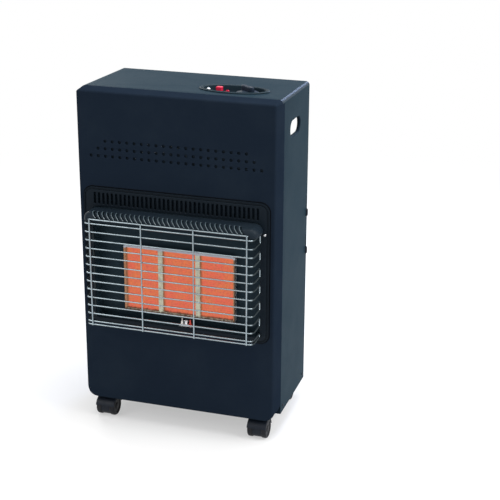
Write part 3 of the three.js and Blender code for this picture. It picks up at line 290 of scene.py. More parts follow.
def glowing_ceramic():
    """Burner plaque at work: glowing lands round small dark holes, dull along its foot and left edge."""
    finish = Finish("glowing_ceramic", Specular_IOR_Level=0.1, Emission_Strength=1.0)
    hole = finish.cells(330.0).span(0.18, 0.50)
    patch = finish.noise(46.0, 4.0, 0.65).span(0.35, 0.65)
    speck = finish.noise(620.0, 2.0, 0.6).span(0.35, 0.65)
    mottle = finish.cells(190.0, output="Color")
    mottle = finish.add("ShaderNodeSeparateColor", {}, [mottle]).span(0.35, 0.75)
    ragged = finish.noise(300.0, 3.0, 0.6, finish.stretched(1.0, 1.0, 0.25)) * 0.010
    low = (finish.axis(2) + ragged * -1.0).span(0.2520, 0.2570)
    share = finish.add("ShaderNodeMath", {"operation": "FRACT"}, [(finish.axis(0) + 0.117) / 0.080667])
    left = (share + ragged * -5.0).span(-0.02, 0.06)
    hot = finish.mix(patch, (0.71, 0.112, 0.058), (0.68, 0.168, 0.045))
    warm = finish.mix(speck * 0.7, finish.mix(mottle * 0.30, hot, (0.50, 0.20, 0.055)), (0.52, 0.085, 0.085))
    spotted = finish.mix(hole * 0.45 + 0.55, (0.26, 0.045, 0.022), warm)
    dull = finish.mix(left, (0.17, 0.075, 0.030), spotted)
    finish.feed("Emission Color", finish.mix(low, (0.045, 0.016, 0.008), dull))
    finish.feed("Base Color", finish.mix(low, (0.09, 0.06, 0.045), (0.11, 0.05, 0.03)))
    finish.feed("Roughness", patch * 0.1 + 0.8)
    finish.feed("Normal", finish.bump(hole, 0.5, 0.0006))
    return finish.material


def burner_steel():
    """The pale steel round the plaques: heat tints, olive ends, and soot up its lower rail."""
    finish = Finish("burner_steel", Metallic=0.25, Specular_IOR_Level=0.3)
    ragged = finish.noise(260.0, 3.0, 0.6, finish.stretched(1.0, 1.0, 0.2)) * 0.012
    soot = (finish.axis(2) + ragged * -1.0).span(0.2490, 0.2550)
    tint = finish.noise(70.0, 4.0).span(0.4, 0.7)
    rail = finish.axis(2).span(0.388, 0.392)
    ends, right = finish.axis(0).size().span(0.1150, 0.1165), finish.axis(0).span(0.1178, 0.1188)
    body = finish.mix(tint, (0.56, 0.55, 0.42), (0.44, 0.44, 0.35))
    body = finish.mix(ends * 0.9, body, (0.40, 0.165, 0.070))
    body = finish.mix(right * 0.85, body, (0.030, 0.030, 0.027))
    body = finish.mix(rail, body, (0.40, 0.42, 0.47))
    finish.feed("Base Color", finish.mix(soot, (0.055, 0.035, 0.022), body))
    finish.feed("Roughness", tint * 0.15 + 0.42)
    finish.feed("Normal", finish.bump(finish.noise(900.0, 2.0), 0.12, 0.0002))
    return finish.material


def gloss_enamel(name, base, shade, scale=16.0):
    """Stove enamel on the gas cylinder: even, glossy, with a slow ripple and small chips."""
    finish = Finish(name, Specular_IOR_Level=0.5, Coat_Roughness=0.06, Coat_Weight=0.5)
    chips = finish.cells(60.0).span(0.055, 0.045) * finish.noise(9.0).span(0.55, 0.62)
    body = finish.mix(finish.noise(scale, 3.0).span(0.3, 0.7) * 0.5, base, shade)
    finish.feed("Base Color", finish.mix(chips, body, (0.10, 0.105, 0.12)))
    finish.feed("Roughness", finish.noise(30.0, 3.0) * 0.14 + 0.20 + chips * 0.4)
    ripple = finish.bump(finish.noise(45.0, 2.0, 0.4), 0.10, 0.001)
    finish.feed("Normal", finish.bump(finish.noise(800.0, 1.0), 0.05, 0.0002, ripple))
    return finish.material


def hose_rubber():
    """Orange gas hose: matt, faintly ribbed by its braid, with grey rubbed marks."""
    finish = Finish("orange_rubber", Specular_IOR_Level=0.45)
    rubbed = finish.noise(120.0, 5.0, 0.6).span(0.55, 0.75)
    finish.feed("Base Color", finish.mix(rubbed * 0.5, (0.76, 0.225, 0.06), (0.60, 0.24, 0.12)))
    finish.feed("Roughness", finish.noise(80.0, 3.0) * 0.2 + 0.36)
    braid = finish.cells(520.0).span(0.1, 0.6)
    finish.feed("Normal", finish.bump(braid, 0.16, 0.0003))
    return finish.material


def plain_ceramic(name, base, shade):
    """Glazed insulator: white, with a faint craze and soft brownish clouds."""
    finish = Finish(name, Specular_IOR_Level=0.5)
    cloud = finish.noise(300.0, 3.0).span(0.5, 0.7)
    finish.feed("Base Color", finish.mix(cloud * 0.4, base, shade))
    finish.feed("Roughness", cloud * 0.15 + 0.2)
    finish.feed("Normal", finish.bump(finish.noise(1500.0, 2.0), 0.08, 0.0002))
    return finish.material


finishes = {
    "cabinet_paint": powder_coat("cabinet_paint", (0.0085, 0.0150, 0.0240), (0.016, 0.025, 0.034), 0.42, 0.008, 0.066, 0.40),
    "front_paint": powder_coat("front_paint", (0.0096, 0.0156, 0.0260), (0.016, 0.024, 0.035), 0.42, 0.0),
    "inner_enamel": powder_coat("inner_enamel", (0.0150, 0.0275, 0.0370), (0.022, 0.034, 0.042), 0.36, 0.03),
    "hood_enamel": powder_coat("hood_enamel", (0.0095, 0.0155, 0.0225), (0.018, 0.026, 0.032), 0.36, 0.06),
    "black_enamel": powder_coat("black_enamel", (0.0065, 0.0110, 0.0165), (0.014, 0.020, 0.025), 0.36, 0.06),
    "belt_paint": powder_coat("belt_paint", (0.022, 0.025, 0.034), (0.034, 0.038, 0.047), 0.42, 0.1),
    # painted highlight: the belt's rolled beads are pale for the light along them; the knob's grey index line uses the
    # same colour
    "bead_highlight_and_index_grey": powder_coat("bead_highlight_and_index_grey", (0.115, 0.125, 0.145), (0.17, 0.18, 0.20), 0.38, 0.2),
    # painted highlight: the slot lips are the hood's own sheet, painted pale for the light along their edges
    "hood_lip_highlight": powder_coat("hood_lip_highlight", (0.085, 0.120, 0.140), (0.13, 0.17, 0.19), 0.30, 0.5),
    "guard_chrome": guard_wire(),
    "galvanised_steel": galvanised_steel(),
    "burner_steel": burner_steel(),
    "glowing_ceramic": glowing_ceramic(),
    "white_ceramic": plain_ceramic("white_ceramic", (0.82, 0.81, 0.77), (0.66, 0.62, 0.54)),
    "brass": bare_metal("brass", (0.72, 0.52, 0.22), (0.50, 0.36, 0.17), 0.30),
    "copper": bare_metal("copper", (0.72, 0.36, 0.22), (0.45, 0.24, 0.16), 0.32),
    "hot_copper": bare_metal("hot_copper", (0.60, 0.09, 0.07), (0.42, 0.07, 0.06), 0.40),
    "zinc_casting": bare_metal("zinc_casting", (0.62, 0.64, 0.66), (0.46, 0.48, 0.50), 0.42, depth=0.4),
    "bright_steel": bare_metal("bright_steel", (0.72, 0.73, 0.75), (0.52, 0.53, 0.55), 0.24),
    "black_plastic": moulded("black_plastic", (0.0085, 0.012, 0.019), (0.020, 0.025, 0.033), 0.40),
    "red_plastic": moulded("red_plastic", (0.50, 0.012, 0.045), (0.62, 0.06, 0.10), 0.28, strength=0.06),
    "white_print": plain_ceramic("white_print", (0.80, 0.82, 0.84), (0.66, 0.68, 0.70)),
    "orange_rubber": hose_rubber(),
    "cylinder_paint": gloss_enamel("cylinder_paint", (0.052, 0.103, 0.335), (0.040, 0.082, 0.275)),
    "knob_plastic": moulded("knob_plastic", (0.0100, 0.0175, 0.0300), (0.020, 0.030, 0.046), 0.45, specular=0.06),
    # near black: a thin seal, and painted shade deepening the gap round the bezel
    "seal_and_gap_shade": moulded("seal_and_gap_shade", (0.0025, 0.0030, 0.0042), (0.005, 0.006, 0.008), 0.60, specular=0.03),
    "wheel_nylon": moulded("wheel_nylon", (0.012, 0.013, 0.016), (0.04, 0.042, 0.046), 0.48),
}


# ---------------------------------------------------------------- surfaces


def grid(points, round_rows=False, round_columns=False):
    """A surface through rows and columns of points: each four neighbours make one face."""
    rows, columns = points.shape[:2]
    index = np.arange(rows * columns).reshape(rows, columns)
    i, j = np.meshgrid(
        np.arange(rows if round_rows else rows - 1), np.arange(columns if round_columns else columns - 1),
        indexing="ij")
    ahead, across = (i + 1) % rows, (j + 1) % columns
    faces = np.stack([index[i, j], index[ahead, j], index[ahead, across], index[i, across]], -1)
    return points.reshape(-1, 3), faces.reshape(-1, 4).tolist()


def grid_without(points, gone):
    """A surface as in grid, but with no face where gone is True for its cell."""
    rows, columns = points.shape[:2]
    index = np.arange(rows * columns).reshape(rows, columns)
    faces = np.stack([index[:-1, :-1], index[1:, :-1], index[1:, 1:], index[:-1, 1:]], -1)
    return points.reshape(-1, 3), faces[~gone].tolist()


def together(*surfaces):
    """Several surfaces as one."""
    points, faces, count = [], [], 0
    for some, corners in surfaces:
        points.append(some)
        faces += [[corner + count for corner in face] for face in corners]
        count += len(some)
    return np.concatenate(points), faces


def moved(surface, x=0.0, y=0.0, z=0.0, turn=0.0):
    """A surface turned about the vertical by an angle in degrees, then shifted."""
    points, faces = surface
    c, s = math.cos(math.radians(turn)), math.sin(math.radians(turn))
    return points @ np.array([[c, s, 0], [-s, c, 0], [0, 0, 1.0]]) + (x, y, z), faces


def aimed(surface, at, along):
    """A surface made about the vertical through the origin, moved to a point with its axis along a line."""
    points, faces = surface
    turn = np.array(Vector((0, 0, 1)).rotation_difference(Vector(along)).to_matrix())
    return points @ turn.T + np.asarray(at, float), faces


def arc(x, y, radius, start, end, steps=8):
    """Points on a circle from one angle to another, in degrees."""
    angle = np.radians(np.linspace(start, end, steps + 1))
    return np.stack([x + radius * np.cos(angle), y + radius * np.sin(angle)], -1)


def rounded(points, radius, steps=6):
    """A line of straight runs whose inner corners become arcs; radius is one number or one a corner."""
    points = np.asarray(points, float)
    radii = np.broadcast_to(radius, len(points) - 2)
    line = [points[:1]]
    for before, corner, after, wanted in zip(points, points[1:], points[2:], radii):
        a, b = before - corner, after - corner
        long_a, long_b = np.linalg.norm(a), np.linalg.norm(b)
        a, b = a / long_a, b / long_b
        half = math.acos(np.clip(a @ b, -1, 1)) / 2
        if wanted <= 0 or half > 1.565:
            line.append(corner[None])
            continue
        reach = min(wanted / math.tan(half), 0.49 * long_a, 0.49 * long_b)
        bow = reach * math.tan(half)
        centre = corner + (a + b) / np.linalg.norm(a + b) * bow / math.sin(half)
        start, end = corner + a * reach - centre, corner + b * reach - centre
        sweep = math.pi - 2 * half
        share = np.linspace(0, 1, steps + 1)[:, None]
        line.append(centre + (np.sin((1 - share) * sweep) * start + np.sin(share * sweep) * end) / math.sin(sweep))
    line.append(points[-1:])
    return np.concatenate(line)


def smooth_line(points, steps=8):
    """Centripetal Catmull-Rom curve through the points, with so many steps to each span."""
    points = np.asarray(points, float)
    points = np.concatenate([[2 * points[0] - points[1]], points, [2 * points[-1] - points[-2]]])
    knot = np.concatenate([[0], np.cumsum(np.linalg.norm(np.diff(points, axis=0), axis=1) ** 0.5)])
    p, t = [points[i:len(points) - 3 + i, None] for i in range(4)], [knot[i:len(knot) - 3 + i, None, None] for i in range(4)]
    u = t[1] + (t[2] - t[1]) * np.linspace(0, 1, steps, endpoint=False)[None, :, None]

    def between(a, b, i, j):
        return ((t[j] - u) * a + (u - t[i]) * b) / (t[j] - t[i])

    first, second, third = (between(p[i], p[i + 1], i, i + 1) for i in range(3))
    curve = between(between(first, second, 0, 2), between(second, third, 1, 3), 1, 2)
    return np.concatenate([curve.reshape(-1, 3), points[-2][None]])


def tube(line, radius, sides=12, closed=False):
    """A round section carried along a line; radius is one number or one a point of the line."""
    line = np.asarray(line, float)
    if closed:
        along = np.roll(line, -1, 0) - np.roll(line, 1, 0)
    else:
        along = np.gradient(line, axis=0)
    along /= np.linalg.norm(along, axis=1)[:, None]
    side = np.cross(along[0], (0.31, 0.17, 0.93))
    sideways = []
    for direction in along:
        side = side - direction * (side @ direction)
        side = side / np.linalg.norm(side)
        sideways.append(side)
    sideways = np.array(sideways)
    upward = np.cross(along, sideways)
    angle = np.linspace(0, 2 * math.pi, sides, endpoint=False)[None, :, None]
    ring = sideways[:, None] * np.cos(angle) + upward[:, None] * np.sin(angle)
    points = line[:, None] + ring * np.broadcast_to(radius, len(line))[:, None, None]
    surface, faces = grid(points, round_rows=closed, round_columns=True)
    if not closed:
        last = len(surface) - sides
        faces += [list(range(sides)), list(range(last, last + sides))[::-1]]
    return surface, faces


def turned(profile, steps=48, squeeze=1.0):
    """A profile of (radius, height) turned about the vertical; squeeze makes it oval along Y."""
    profile = np.asarray(profile, float)
    angle = np.linspace(0, 2 * math.pi, steps, endpoint=False)[None, :]
    radius, height = profile[:, :1], profile[:, 1:]
    points = np.stack([radius * np.cos(angle), squeeze * radius * np.sin(angle), height + 0 * angle], -1)
    return grid(points, round_columns=True)


def swept(line, section):
    """A flat section of (outward, upward) carried along a level line in plan."""
    line = np.asarray(line, float)
    along = np.gradient(line, axis=0)
    along /= np.linalg.norm(along, axis=1)[:, None]
    out = np.stack([along[:, 1], -along[:, 0]], -1)
    section = np.asarray(section, float)
    plan = line[:, None] + out[:, None] * section[None, :, :1]
    height = np.broadcast_to(section[None, :, 1:], (*plan.shape[:2], 1))
    return grid(np.concatenate([plan, height], -1))


def box_loop(x0, x1, z0, z1, upper, lower=None, steps=6):
    """Rounded rectangle in X and Z as a function of how far it is inset."""
    lower = upper if lower is None else lower

    def loop(inset=0.0):
        a, b, c, d = x0 + inset, x1 - inset, z0 + inset, z1 - inset
        r, s = max(upper - inset, 1e-3), max(lower - inset, 1e-3)
        return np.concatenate([
            arc(a + s, c + s, s, 180, 270, steps), arc(b - s, c + s, s, 270, 360, steps),
            arc(b - r, d - r, r, 0, 90, steps), arc(a + r, d - r, r, 90, 180, steps)])

    return loop


def round_loop(x, z, radius, steps=16):
    """Circle as a function of its inset; its first point turns with x, so that no row of circles lines up."""
    return lambda inset=0.0: arc(x, z, radius - inset, 1.3 * x, 1.3 * x + 360, steps)[:-1]


def slot_loop(x, z, length, height, steps=8):
    return box_loop(x - length / 2, x + length / 2, z - height / 2, z + height / 2, min(length, height) / 2, steps=steps)


def filled(loops):
    """A flat face inside the first loop and outside the others, cut into triangles."""
    lines = [[Vector((x, z, 0.0)) for x, z in loop] for loop in loops]
    return np.concatenate(loops), [list(face) for face in tessellate_polygon(lines)]


def flat(surface_2d, depth, plane):
    """Points drawn in a plane, put at a depth: "back" has X and Z, "across" Y and Z, "up" X and Y."""
    points, faces = surface_2d
    u, v, w = points[:, 0], points[:, 1], np.full(len(points), float(depth))
    order = {"back": (u, w, v), "across": (w, u, v), "up": (u, v, w)}[plane]
    return np.stack(order, -1), faces


def plate(loops, start, end, edge, plane="back", steps=3):
    """A plate with rounded edges: its outline and holes are loops, and both its faces are flat."""
    outline, holes = loops[0], loops[1:]
    angle = np.radians(np.linspace(0, 90, steps + 1))
    near = np.stack([edge * (1 - np.sin(angle)), start + edge * (1 - np.cos(angle))], -1)
    far = np.stack([near[::-1, 0], start + end - near[::-1, 1]], -1)
    rim = np.concatenate([near, far])
    surfaces = [
        flat(filled([outline(edge)] + [hole(-edge) for hole in holes]), level, plane) for level in (start, end)]
    for loop, sign in [(outline, 1)] + [(hole, -1) for hole in holes]:
        rings = [flat((loop(sign * inset), []), level, plane)[0] for inset, level in rim]
        surfaces.append(grid(np.array(rings), round_columns=True))
    return together(*surfaces)


def lozenge(size, centre, power=0.35, steps=24, turn=0.0):
    """A superquadric: a block whose faces bulge and whose edges are rounded, from its half sizes."""
    def shaped(value):
        return np.sign(value) * np.abs(value) ** power

    up = np.linspace(-math.pi / 2, math.pi / 2, steps)[:, None]
    round_ = np.linspace(0, 2 * math.pi, 2 * steps, endpoint=False)[None, :]
    points = np.stack([
        size[0] * shaped(np.cos(up)) * shaped(np.cos(round_)), size[1] * shaped(np.cos(up)) * shaped(np.sin(round_)),
        size[2] * shaped(np.sin(up)) + 0 * round_], -1)
    return moved(grid(points, round_columns=True), *centre, turn=turn)


def screw(radius=4.0, height=2.2):
    """A pan-head screw with a cross in it, made about the vertical with its seat at zero."""
    angle = np.linspace(0, 2 * math.pi, 32, endpoint=False)[None, :]
    share = np.linspace(0, 1, 9)[:, None]
    dome = height * np.sqrt(np.clip(1 - share**2.6, 0, 1))
    arms = np.exp(-((np.sin(2 * angle) * share * radius / 0.9) ** 2)) * np.clip((0.68 - share) * 8, 0, 1)
    radial = radius * share
    points = np.stack([radial * np.cos(angle), radial * np.sin(angle), dome - 0.9 * arms], -1)
    return grid(points, round_columns=True)


def nut(across, height, steps=6):
    """A six-sided nut with its corners turned off."""
    ring = np.linspace(0, 2 * math.pi, 6 * steps, endpoint=False)
    flat_radius = across / 2 / np.cos((ring + math.pi / 6) % (math.pi / 3) - math.pi / 6)
    corner = across / 2 / math.cos(math.pi / 6)
    rows = [(0, 0), (0.80 * corner, 0), (0.99 * corner, 0.12 * height), (0.99 * corner, 0.88 * height),
            (0.80 * corner, height), (0, height)]
    radius = np.array([np.minimum(flat_radius, limit) for limit, _ in rows])
    level = np.array([level for _, level in rows])[:, None] + 0 * radius
    return grid(np.stack([radius * np.cos(ring), radius * np.sin(ring), level], -1), round_columns=True)


# ---------------------------------------------------------------- pieces


def piece(name, surface, finish, body="root", stands_for=(), wall=0.0, crease=38.0):
    """Makes a surface a piece of the heater: welded, facing outwards and smooth between creases."""
    points, faces = surface
    mesh = bpy.data.meshes.new(name)
    mesh.from_pydata(place(points).tolist(), [], faces)
    work = bmesh.new()
    work.from_mesh(mesh)
    bmesh.ops.remove_doubles(work, verts=work.verts, dist=2e-5)
    bmesh.ops.dissolve_degenerate(work, edges=work.edges, dist=1e-6)
    bmesh.ops.recalc_face_normals(work, faces=work.faces)
    work.to_mesh(mesh)
    work.free()
    mesh.shade_smooth()
    mesh.set_sharp_from_angle(angle=math.radians(crease))
    mesh.materials.append(finishes[finish])
    made = bpy.data.objects.new(name, mesh)
    bpy.context.scene.collection.objects.link(made)
    if wall:
        sheet = made.modifiers.new("sheet", "SOLIDIFY")
        sheet.thickness, sheet.offset, sheet.use_even_offset = wall * 0.001, -1.0, True
    shading = made.modifiers.new("shading", "WEIGHTED_NORMAL")
    shading.keep_sharp = True
    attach(made, body)
    if stands_for:
        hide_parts(*stands_for)
    return made


# ---------------------------------------------------------------- hose

HOSE_ROUTE = [
    (113, 123, 636), (113, 123, 624), (114, 123.2, 612), (118.5, 124.5, 596.5), (126.5, 128, 580),
    (137, 133.5, 563.5), (148.5, 142, 548), (159, 152.5, 533.5), (168, 166.5, 521.5), (173.6, 183, 513),
    (175, 202, 509.5), (171.6, 221, 510), (163.7, 238.7, 514.3), (152.5, 253.5, 521.8), (139.5, 264.8, 532),
    (126, 272.5, 543.8), (113.5, 277.3, 556.5), (102.5, 280.2, 570.5), (93.2, 280.9, 584.9),
    (84.6, 279.8, 598.3), (76.5, 277.4, 609.5), (68.7, 274, 618), (60.8, 269.9, 624.5), (52.9, 265.5, 628.8),
    (45, 261, 633),
]
HOSE_DIAMETER = 14.0


def add_hose():
    """The rubber hose from the gas valve's nozzle to the regulator, with a worm clamp on each end."""
    line = smooth_line(HOSE_ROUTE, 6)
    hose = piece("gas_hose_rubber", tube(line, HOSE_DIAMETER / 2, 20), "orange_rubber",
                 stands_for=["gas_hose"], crease=60)
    end = np.array(HOSE_ROUTE[-1], float)
    along = end - HOSE_ROUTE[-2]
    along /= np.linalg.norm(along)
    band = [(7.7, -4.1), (8.0, -4.5), (8.6, -4.5), (8.8, -4.1), (8.8, 4.1), (8.6, 4.5), (8.0, 4.5), (7.7, 4.1), (7.7, -4.1)]
    clamp = together(
        turned(band, 40), lozenge((2.6, 5.8, 3.0), (10.9, 0, 0), 0.3, 12),
        moved(aimed(nut(4.6, 2.4), (0, 0, 0), (0, 1, 0)), 10.9, 3.9, 0))
    valve_end = moved(clamp, 113, 123, 627, turn=90)
    regulator_end = aimed(clamp, end - along * 8, along)
    clamps = [
        piece(name, surface, "bright_steel", stands_for=[node])
        for name, surface, node in (
            ("clamp_at_valve", valve_end, "hose_clamp_valve"),
            ("clamp_at_regulator", regulator_end, "hose_clamp_regulator"))]
    place(HOSE_ROUTE[0]).tolist()
    place(line).tolist()


# ---------------------------------------------------------------- stage


def add_stage():
    """A pale floor that fades into the white world, and soft lamps."""
    world = bpy.data.worlds.new("studio")
    world.use_nodes = True
    bpy.context.scene.world = world
    tree = world.node_tree
    paths = tree.nodes.new("ShaderNodeLightPath")
    seen = None
    for label in ("Is Camera Ray", "Is Glossy Ray", "Is Transmission Ray"):
        if seen is None:
            seen = paths.outputs[label]
            continue
        either = tree.nodes.new("ShaderNodeMath")
        either.operation = "MAXIMUM"
        tree.links.new(seen, either.inputs[0])
        tree.links.new(paths.outputs[label], either.inputs[1])
        seen = either.outputs[0]
    strength = tree.nodes.new("ShaderNodeMapRange")
    strength.inputs["To Min"].default_value = WORLD_LIGHT
    strength.inputs["To Max"].default_value = 1.0
    tree.links.new(seen, strength.inputs["Value"])
    background = tree.nodes["Background"]
    background.inputs["Color"].default_value = (1.0, 1.0, 1.0, 1.0)
    tree.links.new(strength.outputs[0], background.inputs["Strength"])

    floor = Finish("floor", Base_Color=(0.86, 0.86, 0.86), Roughness=0.9, Specular_IOR_Level=0.1)
    away = finish_distance(floor)
    glow = floor.add("ShaderNodeEmission", {}, {"Color": (1.0, 1.0, 1.0, 1.0), "Strength": 1.0})
    paths = floor.tree.nodes.new("ShaderNodeLightPath")
    seen = (Signal(floor, paths.outputs["Is Camera Ray"]) + Signal(floor, paths.outputs["Is Glossy Ray"])
            + Signal(floor, paths.outputs["Is Transmission Ray"])).least(1.0)
    mixed = floor.add("ShaderNodeMixShader", {}, {0: seen * (away * (1.0 - FLOOR_GLOW) + FLOOR_GLOW)})
    floor.tree.links.new(floor.shader.outputs[0], mixed.socket.node.inputs[1])
    floor.tree.links.new(glow.socket, mixed.socket.node.inputs[2])
    floor.tree.links.new(mixed.socket, floor.tree.nodes["Material Output"].inputs["Surface"])
    mesh = bpy.data.meshes.new("floor")
    reach = 14.0
    mesh.from_pydata([(-reach, -reach, 0), (reach, -reach, 0), (reach, reach, 0), (-reach, reach, 0)], [], [(0, 1, 2, 3)])
    mesh.materials.append(floor.material)
    ground = bpy.data.objects.new("floor", mesh)
    bpy.context.scene.collection.objects.link(ground)

    for name, place_at, aim, size, power in LAMPS:
        lamp = bpy.data.lights.new(name, "AREA")
        lamp.shape, lamp.size, lamp.size_y, lamp.energy = "RECTANGLE", size[0], size[1], power
        lamp.color = COOL if name == "edge" else (1.0, 1.0, 1.0)
        lit = bpy.data.objects.new(name, lamp)
        look = Vector(aim) - Vector(place_at)
        lit.matrix_world = Matrix.Translation(place_at) @ look.to_track_quat("-Z", "Y").to_matrix().to_4x4()
        bpy.context.scene.collection.objects.link(lit)
    bpy.context.scene.view_settings.view_transform = "Standard"


def finish_distance(finish):
    """0 near the heater and 1 well away from it, over the floor."""
    x, y = finish.axis(0), finish.axis(1)
    return ((x * x + y * y) ** 0.5).span(0.6, 2.2)


WORLD_LIGHT = 0.55
FLOOR_GLOW = 0.45
COOL = (0.48, 0.62, 1.0)
LAMPS = [
    # name, place, aim, size, watts
    ("key", (-1.8, -2.4, 2.2), (0.0, 0.0, 0.4), (1.4, 1.4), 22.0),
    ("overhead", (0.3, -0.1, 2.7), (0.0, 0.0, 0.5), (1.6, 1.2), 46.0),
    ("side", (2.2, -0.3, 2.0), (0.0, 0.0, 0.35), (1.4, 1.6), 54.0),
    ("edge", (0.6, 2.7, 1.9), (0.1, 0.1, 0.6), (0.8, 0.8), 40.0),
    ("rear", (-2.0, 2.0, 2.0), (0.0, 0.1, 0.4), (1.4, 1.4), 36.0),
]


# ---------------------------------------------------------------- cabinet

HALF, FOOT, TOP = 210.0, 46.0, 718.0  # cabinet's half width, lower edge and top
BACK = 230.0
SHEET = 1.2
FACE_EDGE = 4.4  # rounding round the front panel's face
TAPER = 3.0  # how much smaller the panel is there than where it meets the shell
TOP_EDGE = 8.0
FOLD = 1.5  # outside radius of a folded edge
PERFORATED = ((20, 615.0), (22, 599.5), (24, 584.0))  # holes in each row, and its height
PERFORATION_PITCH, PERFORATION_RADIUS = 15.5, 3.25


def make_front_panel():
    """Face with the burner's opening and the perforations, rounded into flanges that widen a little to the back."""
    loop = box_loop(-HALF, HALF, FOOT, TOP, TOP_EDGE, 25.0)
    holes = [box_loop(-187, 187, 229, 513, 10)()]
    for count, z in PERFORATED:
        xs = (np.arange(count) - (count - 1) / 2) * PERFORATION_PITCH
        holes += [round_loop(x, z, PERFORATION_RADIUS, 14)() for x in xs]
    face = flat(filled([loop(TAPER + FACE_EDGE), *holes]), 0.0, "back")
    angle = np.radians(np.linspace(0, 90, 7))
    section = [(TAPER + FACE_EDGE * (1 - math.sin(a)), FACE_EDGE * (1 - math.cos(a))) for a in angle]
    edge = grid(np.array([flat((loop(k), []), depth, "back")[0] for k, depth in section]), round_columns=True)
    steps = len(loop()) // 4
    section = (section[-1], (0.55 * TAPER, 18.0), (0.0, 33.0), (0.0, 45.0))
    rows = np.array([flat((loop(k), []), depth, "back")[0] for k, depth in section])
    gone = np.zeros((3, 4 * steps), bool)
    gone[1:, steps - 1] = True
    gone[2, 2 * steps:4 * steps - 1] = True
    flanges = grid_without(np.concatenate([rows, rows[:, :1]], 1), gone)
    return together(face, edge, flanges)


def make_shell():
    """Side walls with their hand holes and belt slots, the top, and the folded frame at the back."""
    front_of_side, front_of_top, rear = 45.3, 33.3, BACK - FOLD

    def arch(inset):
        i, r = inset, TOP_EDGE - inset
        return np.concatenate([
            [(-HALF + i, FOOT)], arc(-HALF + TOP_EDGE, TOP - TOP_EDGE, r, 180, 90, 6),
            arc(HALF - TOP_EDGE, TOP - TOP_EDGE, r, 90, 0, 6), [(HALF - i, FOOT)]])

    surfaces = []
    hand = slot_loop(125, 646, 72, 32, 10)
    slots = [box_loop(219.5, 224, z - 0.3, z + 44, 1.2, steps=2)() for z in (342, 427)]
    wall = np.array([(front_of_side, FOOT), (rear, FOOT), (rear, TOP - TOP_EDGE), (front_of_side, TOP - TOP_EDGE)])
    lip = 2.5
    for side in (-1, 1):
        surfaces.append(flat(filled([wall, hand(-lip), *slots]), side * HALF, "across"))
        angle = np.radians(np.linspace(0, 90, 5))
        rows = [(lip * (math.sin(a) - 1), lip * (1 - math.cos(a))) for a in angle] + [(0.0, 7.0)]
        surfaces.append(grid(np.array([
            flat((hand(inset), []), side * (HALF - depth), "across")[0] for inset, depth in rows]), round_columns=True))
        corner = arch(0)[1:8] if side < 0 else arch(0)[8:15]
        surfaces.append(grid(np.array([
            flat((corner, []), y, "back")[0] for y in (front_of_top, front_of_side, rear)])))
    inner = HALF - TOP_EDGE
    lid = np.array([
        (-inner, front_of_top), (inner, front_of_top), (inner, front_of_side), (inner, rear), (-inner, rear),
        (-inner, front_of_side)])
    angle = np.linspace(0, 2 * math.pi, 64, endpoint=False)
    dish = np.stack([92.5 + 66.5 * np.cos(angle), 92 + 32 * np.sin(angle)], -1)
    surfaces.append(flat(filled([lid, dish]), TOP, "up"))
    angle = np.radians(np.linspace(0, 90, 5))
    surfaces.append(grid(np.array([
        flat((arch(FOLD * (1 - math.cos(a))), []), rear + FOLD * math.sin(a), "back")[0] for a in angle])))
    opening = rounded([(186, FOOT), (186, 700), (-186, 700), (-186, FOOT)], 4.0, 4)
    surfaces.append(flat(filled([np.concatenate([arch(FOLD), opening])]), BACK, "back"))
    return together(*surfaces)


def make_screws(places, toward, radius=4.0, height=2.2):
    """Screw heads at points, all facing one way."""
    return together(*[aimed(screw(radius, height), at, toward) for at in places])


def make_platform():
    """The half-round platform behind the cabinet, with its rim folded down."""
    edge = 3.0
    ring = [(174 - edge * (1 - math.sin(a)), 58.2 - edge * (1 - math.cos(a))) for a in np.radians(np.linspace(0, 90, 5))]
    ring = [(r, z) for r, z in ring] + [(174.0, FOOT)]
    rim = arc(0, 235, 1.0, 0, 180, 48) - (0, 235)
    front = np.array([(-1.0, 0.0), (1.0, 0.0)])
    rows = []
    for radius, z in ring:
        curve = rim * radius + (0, 235)
        straight = front * radius + (0, 230.3 + 174 - radius)
        rows.append(np.column_stack([np.concatenate([curve, straight]), np.full(len(curve) + 2, z)]))
    top = [list(range(len(rows[0])))]
    return together((rows[0], top), grid(np.array(rows), round_columns=True))


def make_gauze(x1, z0, z1, y):
    """Fine woven gauze in a narrow frame: level and upright wires, 1.1 mm apart."""
    pitch, wire = 1.1, 0.5
    upright = [tube([(x, y, z0), (x, y, z1)], wire, 4) for x in np.arange(-x1, x1, pitch)]
    level = [tube([(-x1, y, z), (x1, y, z)], wire, 4) for z in np.arange(z0, z1, pitch)]
    loops = [box_loop(-x1 - grow, x1 + grow, z0 - grow, z1 + grow, grow + 2, steps=3) for grow in (2, -1)]
    return together(*upright, *level, plate(loops, y - 0.6, y + 0.6, 0.3))


def add_cabinet():
    # painted shade: near-black gauzes behind the perforations and the bezel's slots, which also stand for the shade
    # inside the cabinet
    shade_gauzes = together(make_gauze(191, 576, 623, 1.9), make_gauze(180, 484, 508, 0.9))
    piece("vent_gauzes_and_shade", shade_gauzes, "black_enamel", crease=80)
    piece("front_panel_sheet", make_front_panel(), "front_paint", stands_for=["front_panel"], wall=SHEET)
    piece("cabinet_shell_sheet", make_shell(), "cabinet_paint", stands_for=["cabinet_shell"], wall=SHEET)
    piece("rear_platform_sheet", make_platform(), "cabinet_paint", stands_for=["rear_platform"], wall=SHEET)
    columns = [(side * 199, BACK, z) for side in (-1, 1) for z in (64, 84, 672, 692)]
    piece("column_screws", make_screws(columns, (0, 1, 0), 3.6, 2.0), "bright_steel")
    for name, side in (("left", -1), ("right", 1)):
        places = [(side * HALF, y, 60) for y in (60, 215)]
        piece(f"side_screws_{name}", make_screws(places, (side, 0, 0), 3.4, 1.6), "black_plastic")


# ---------------------------------------------------------------- burner window

APERTURE = (-178.0, 178.0, 236.0, 478.0)
HOOD_REACH, HOOD_NOSE, HOOD_TOP, HOOD_FOOT = 45.0, 14.2, 477.0, 459.0
HOOD_LEAN = 14.0  # how far a slot's foot is to the right of its head


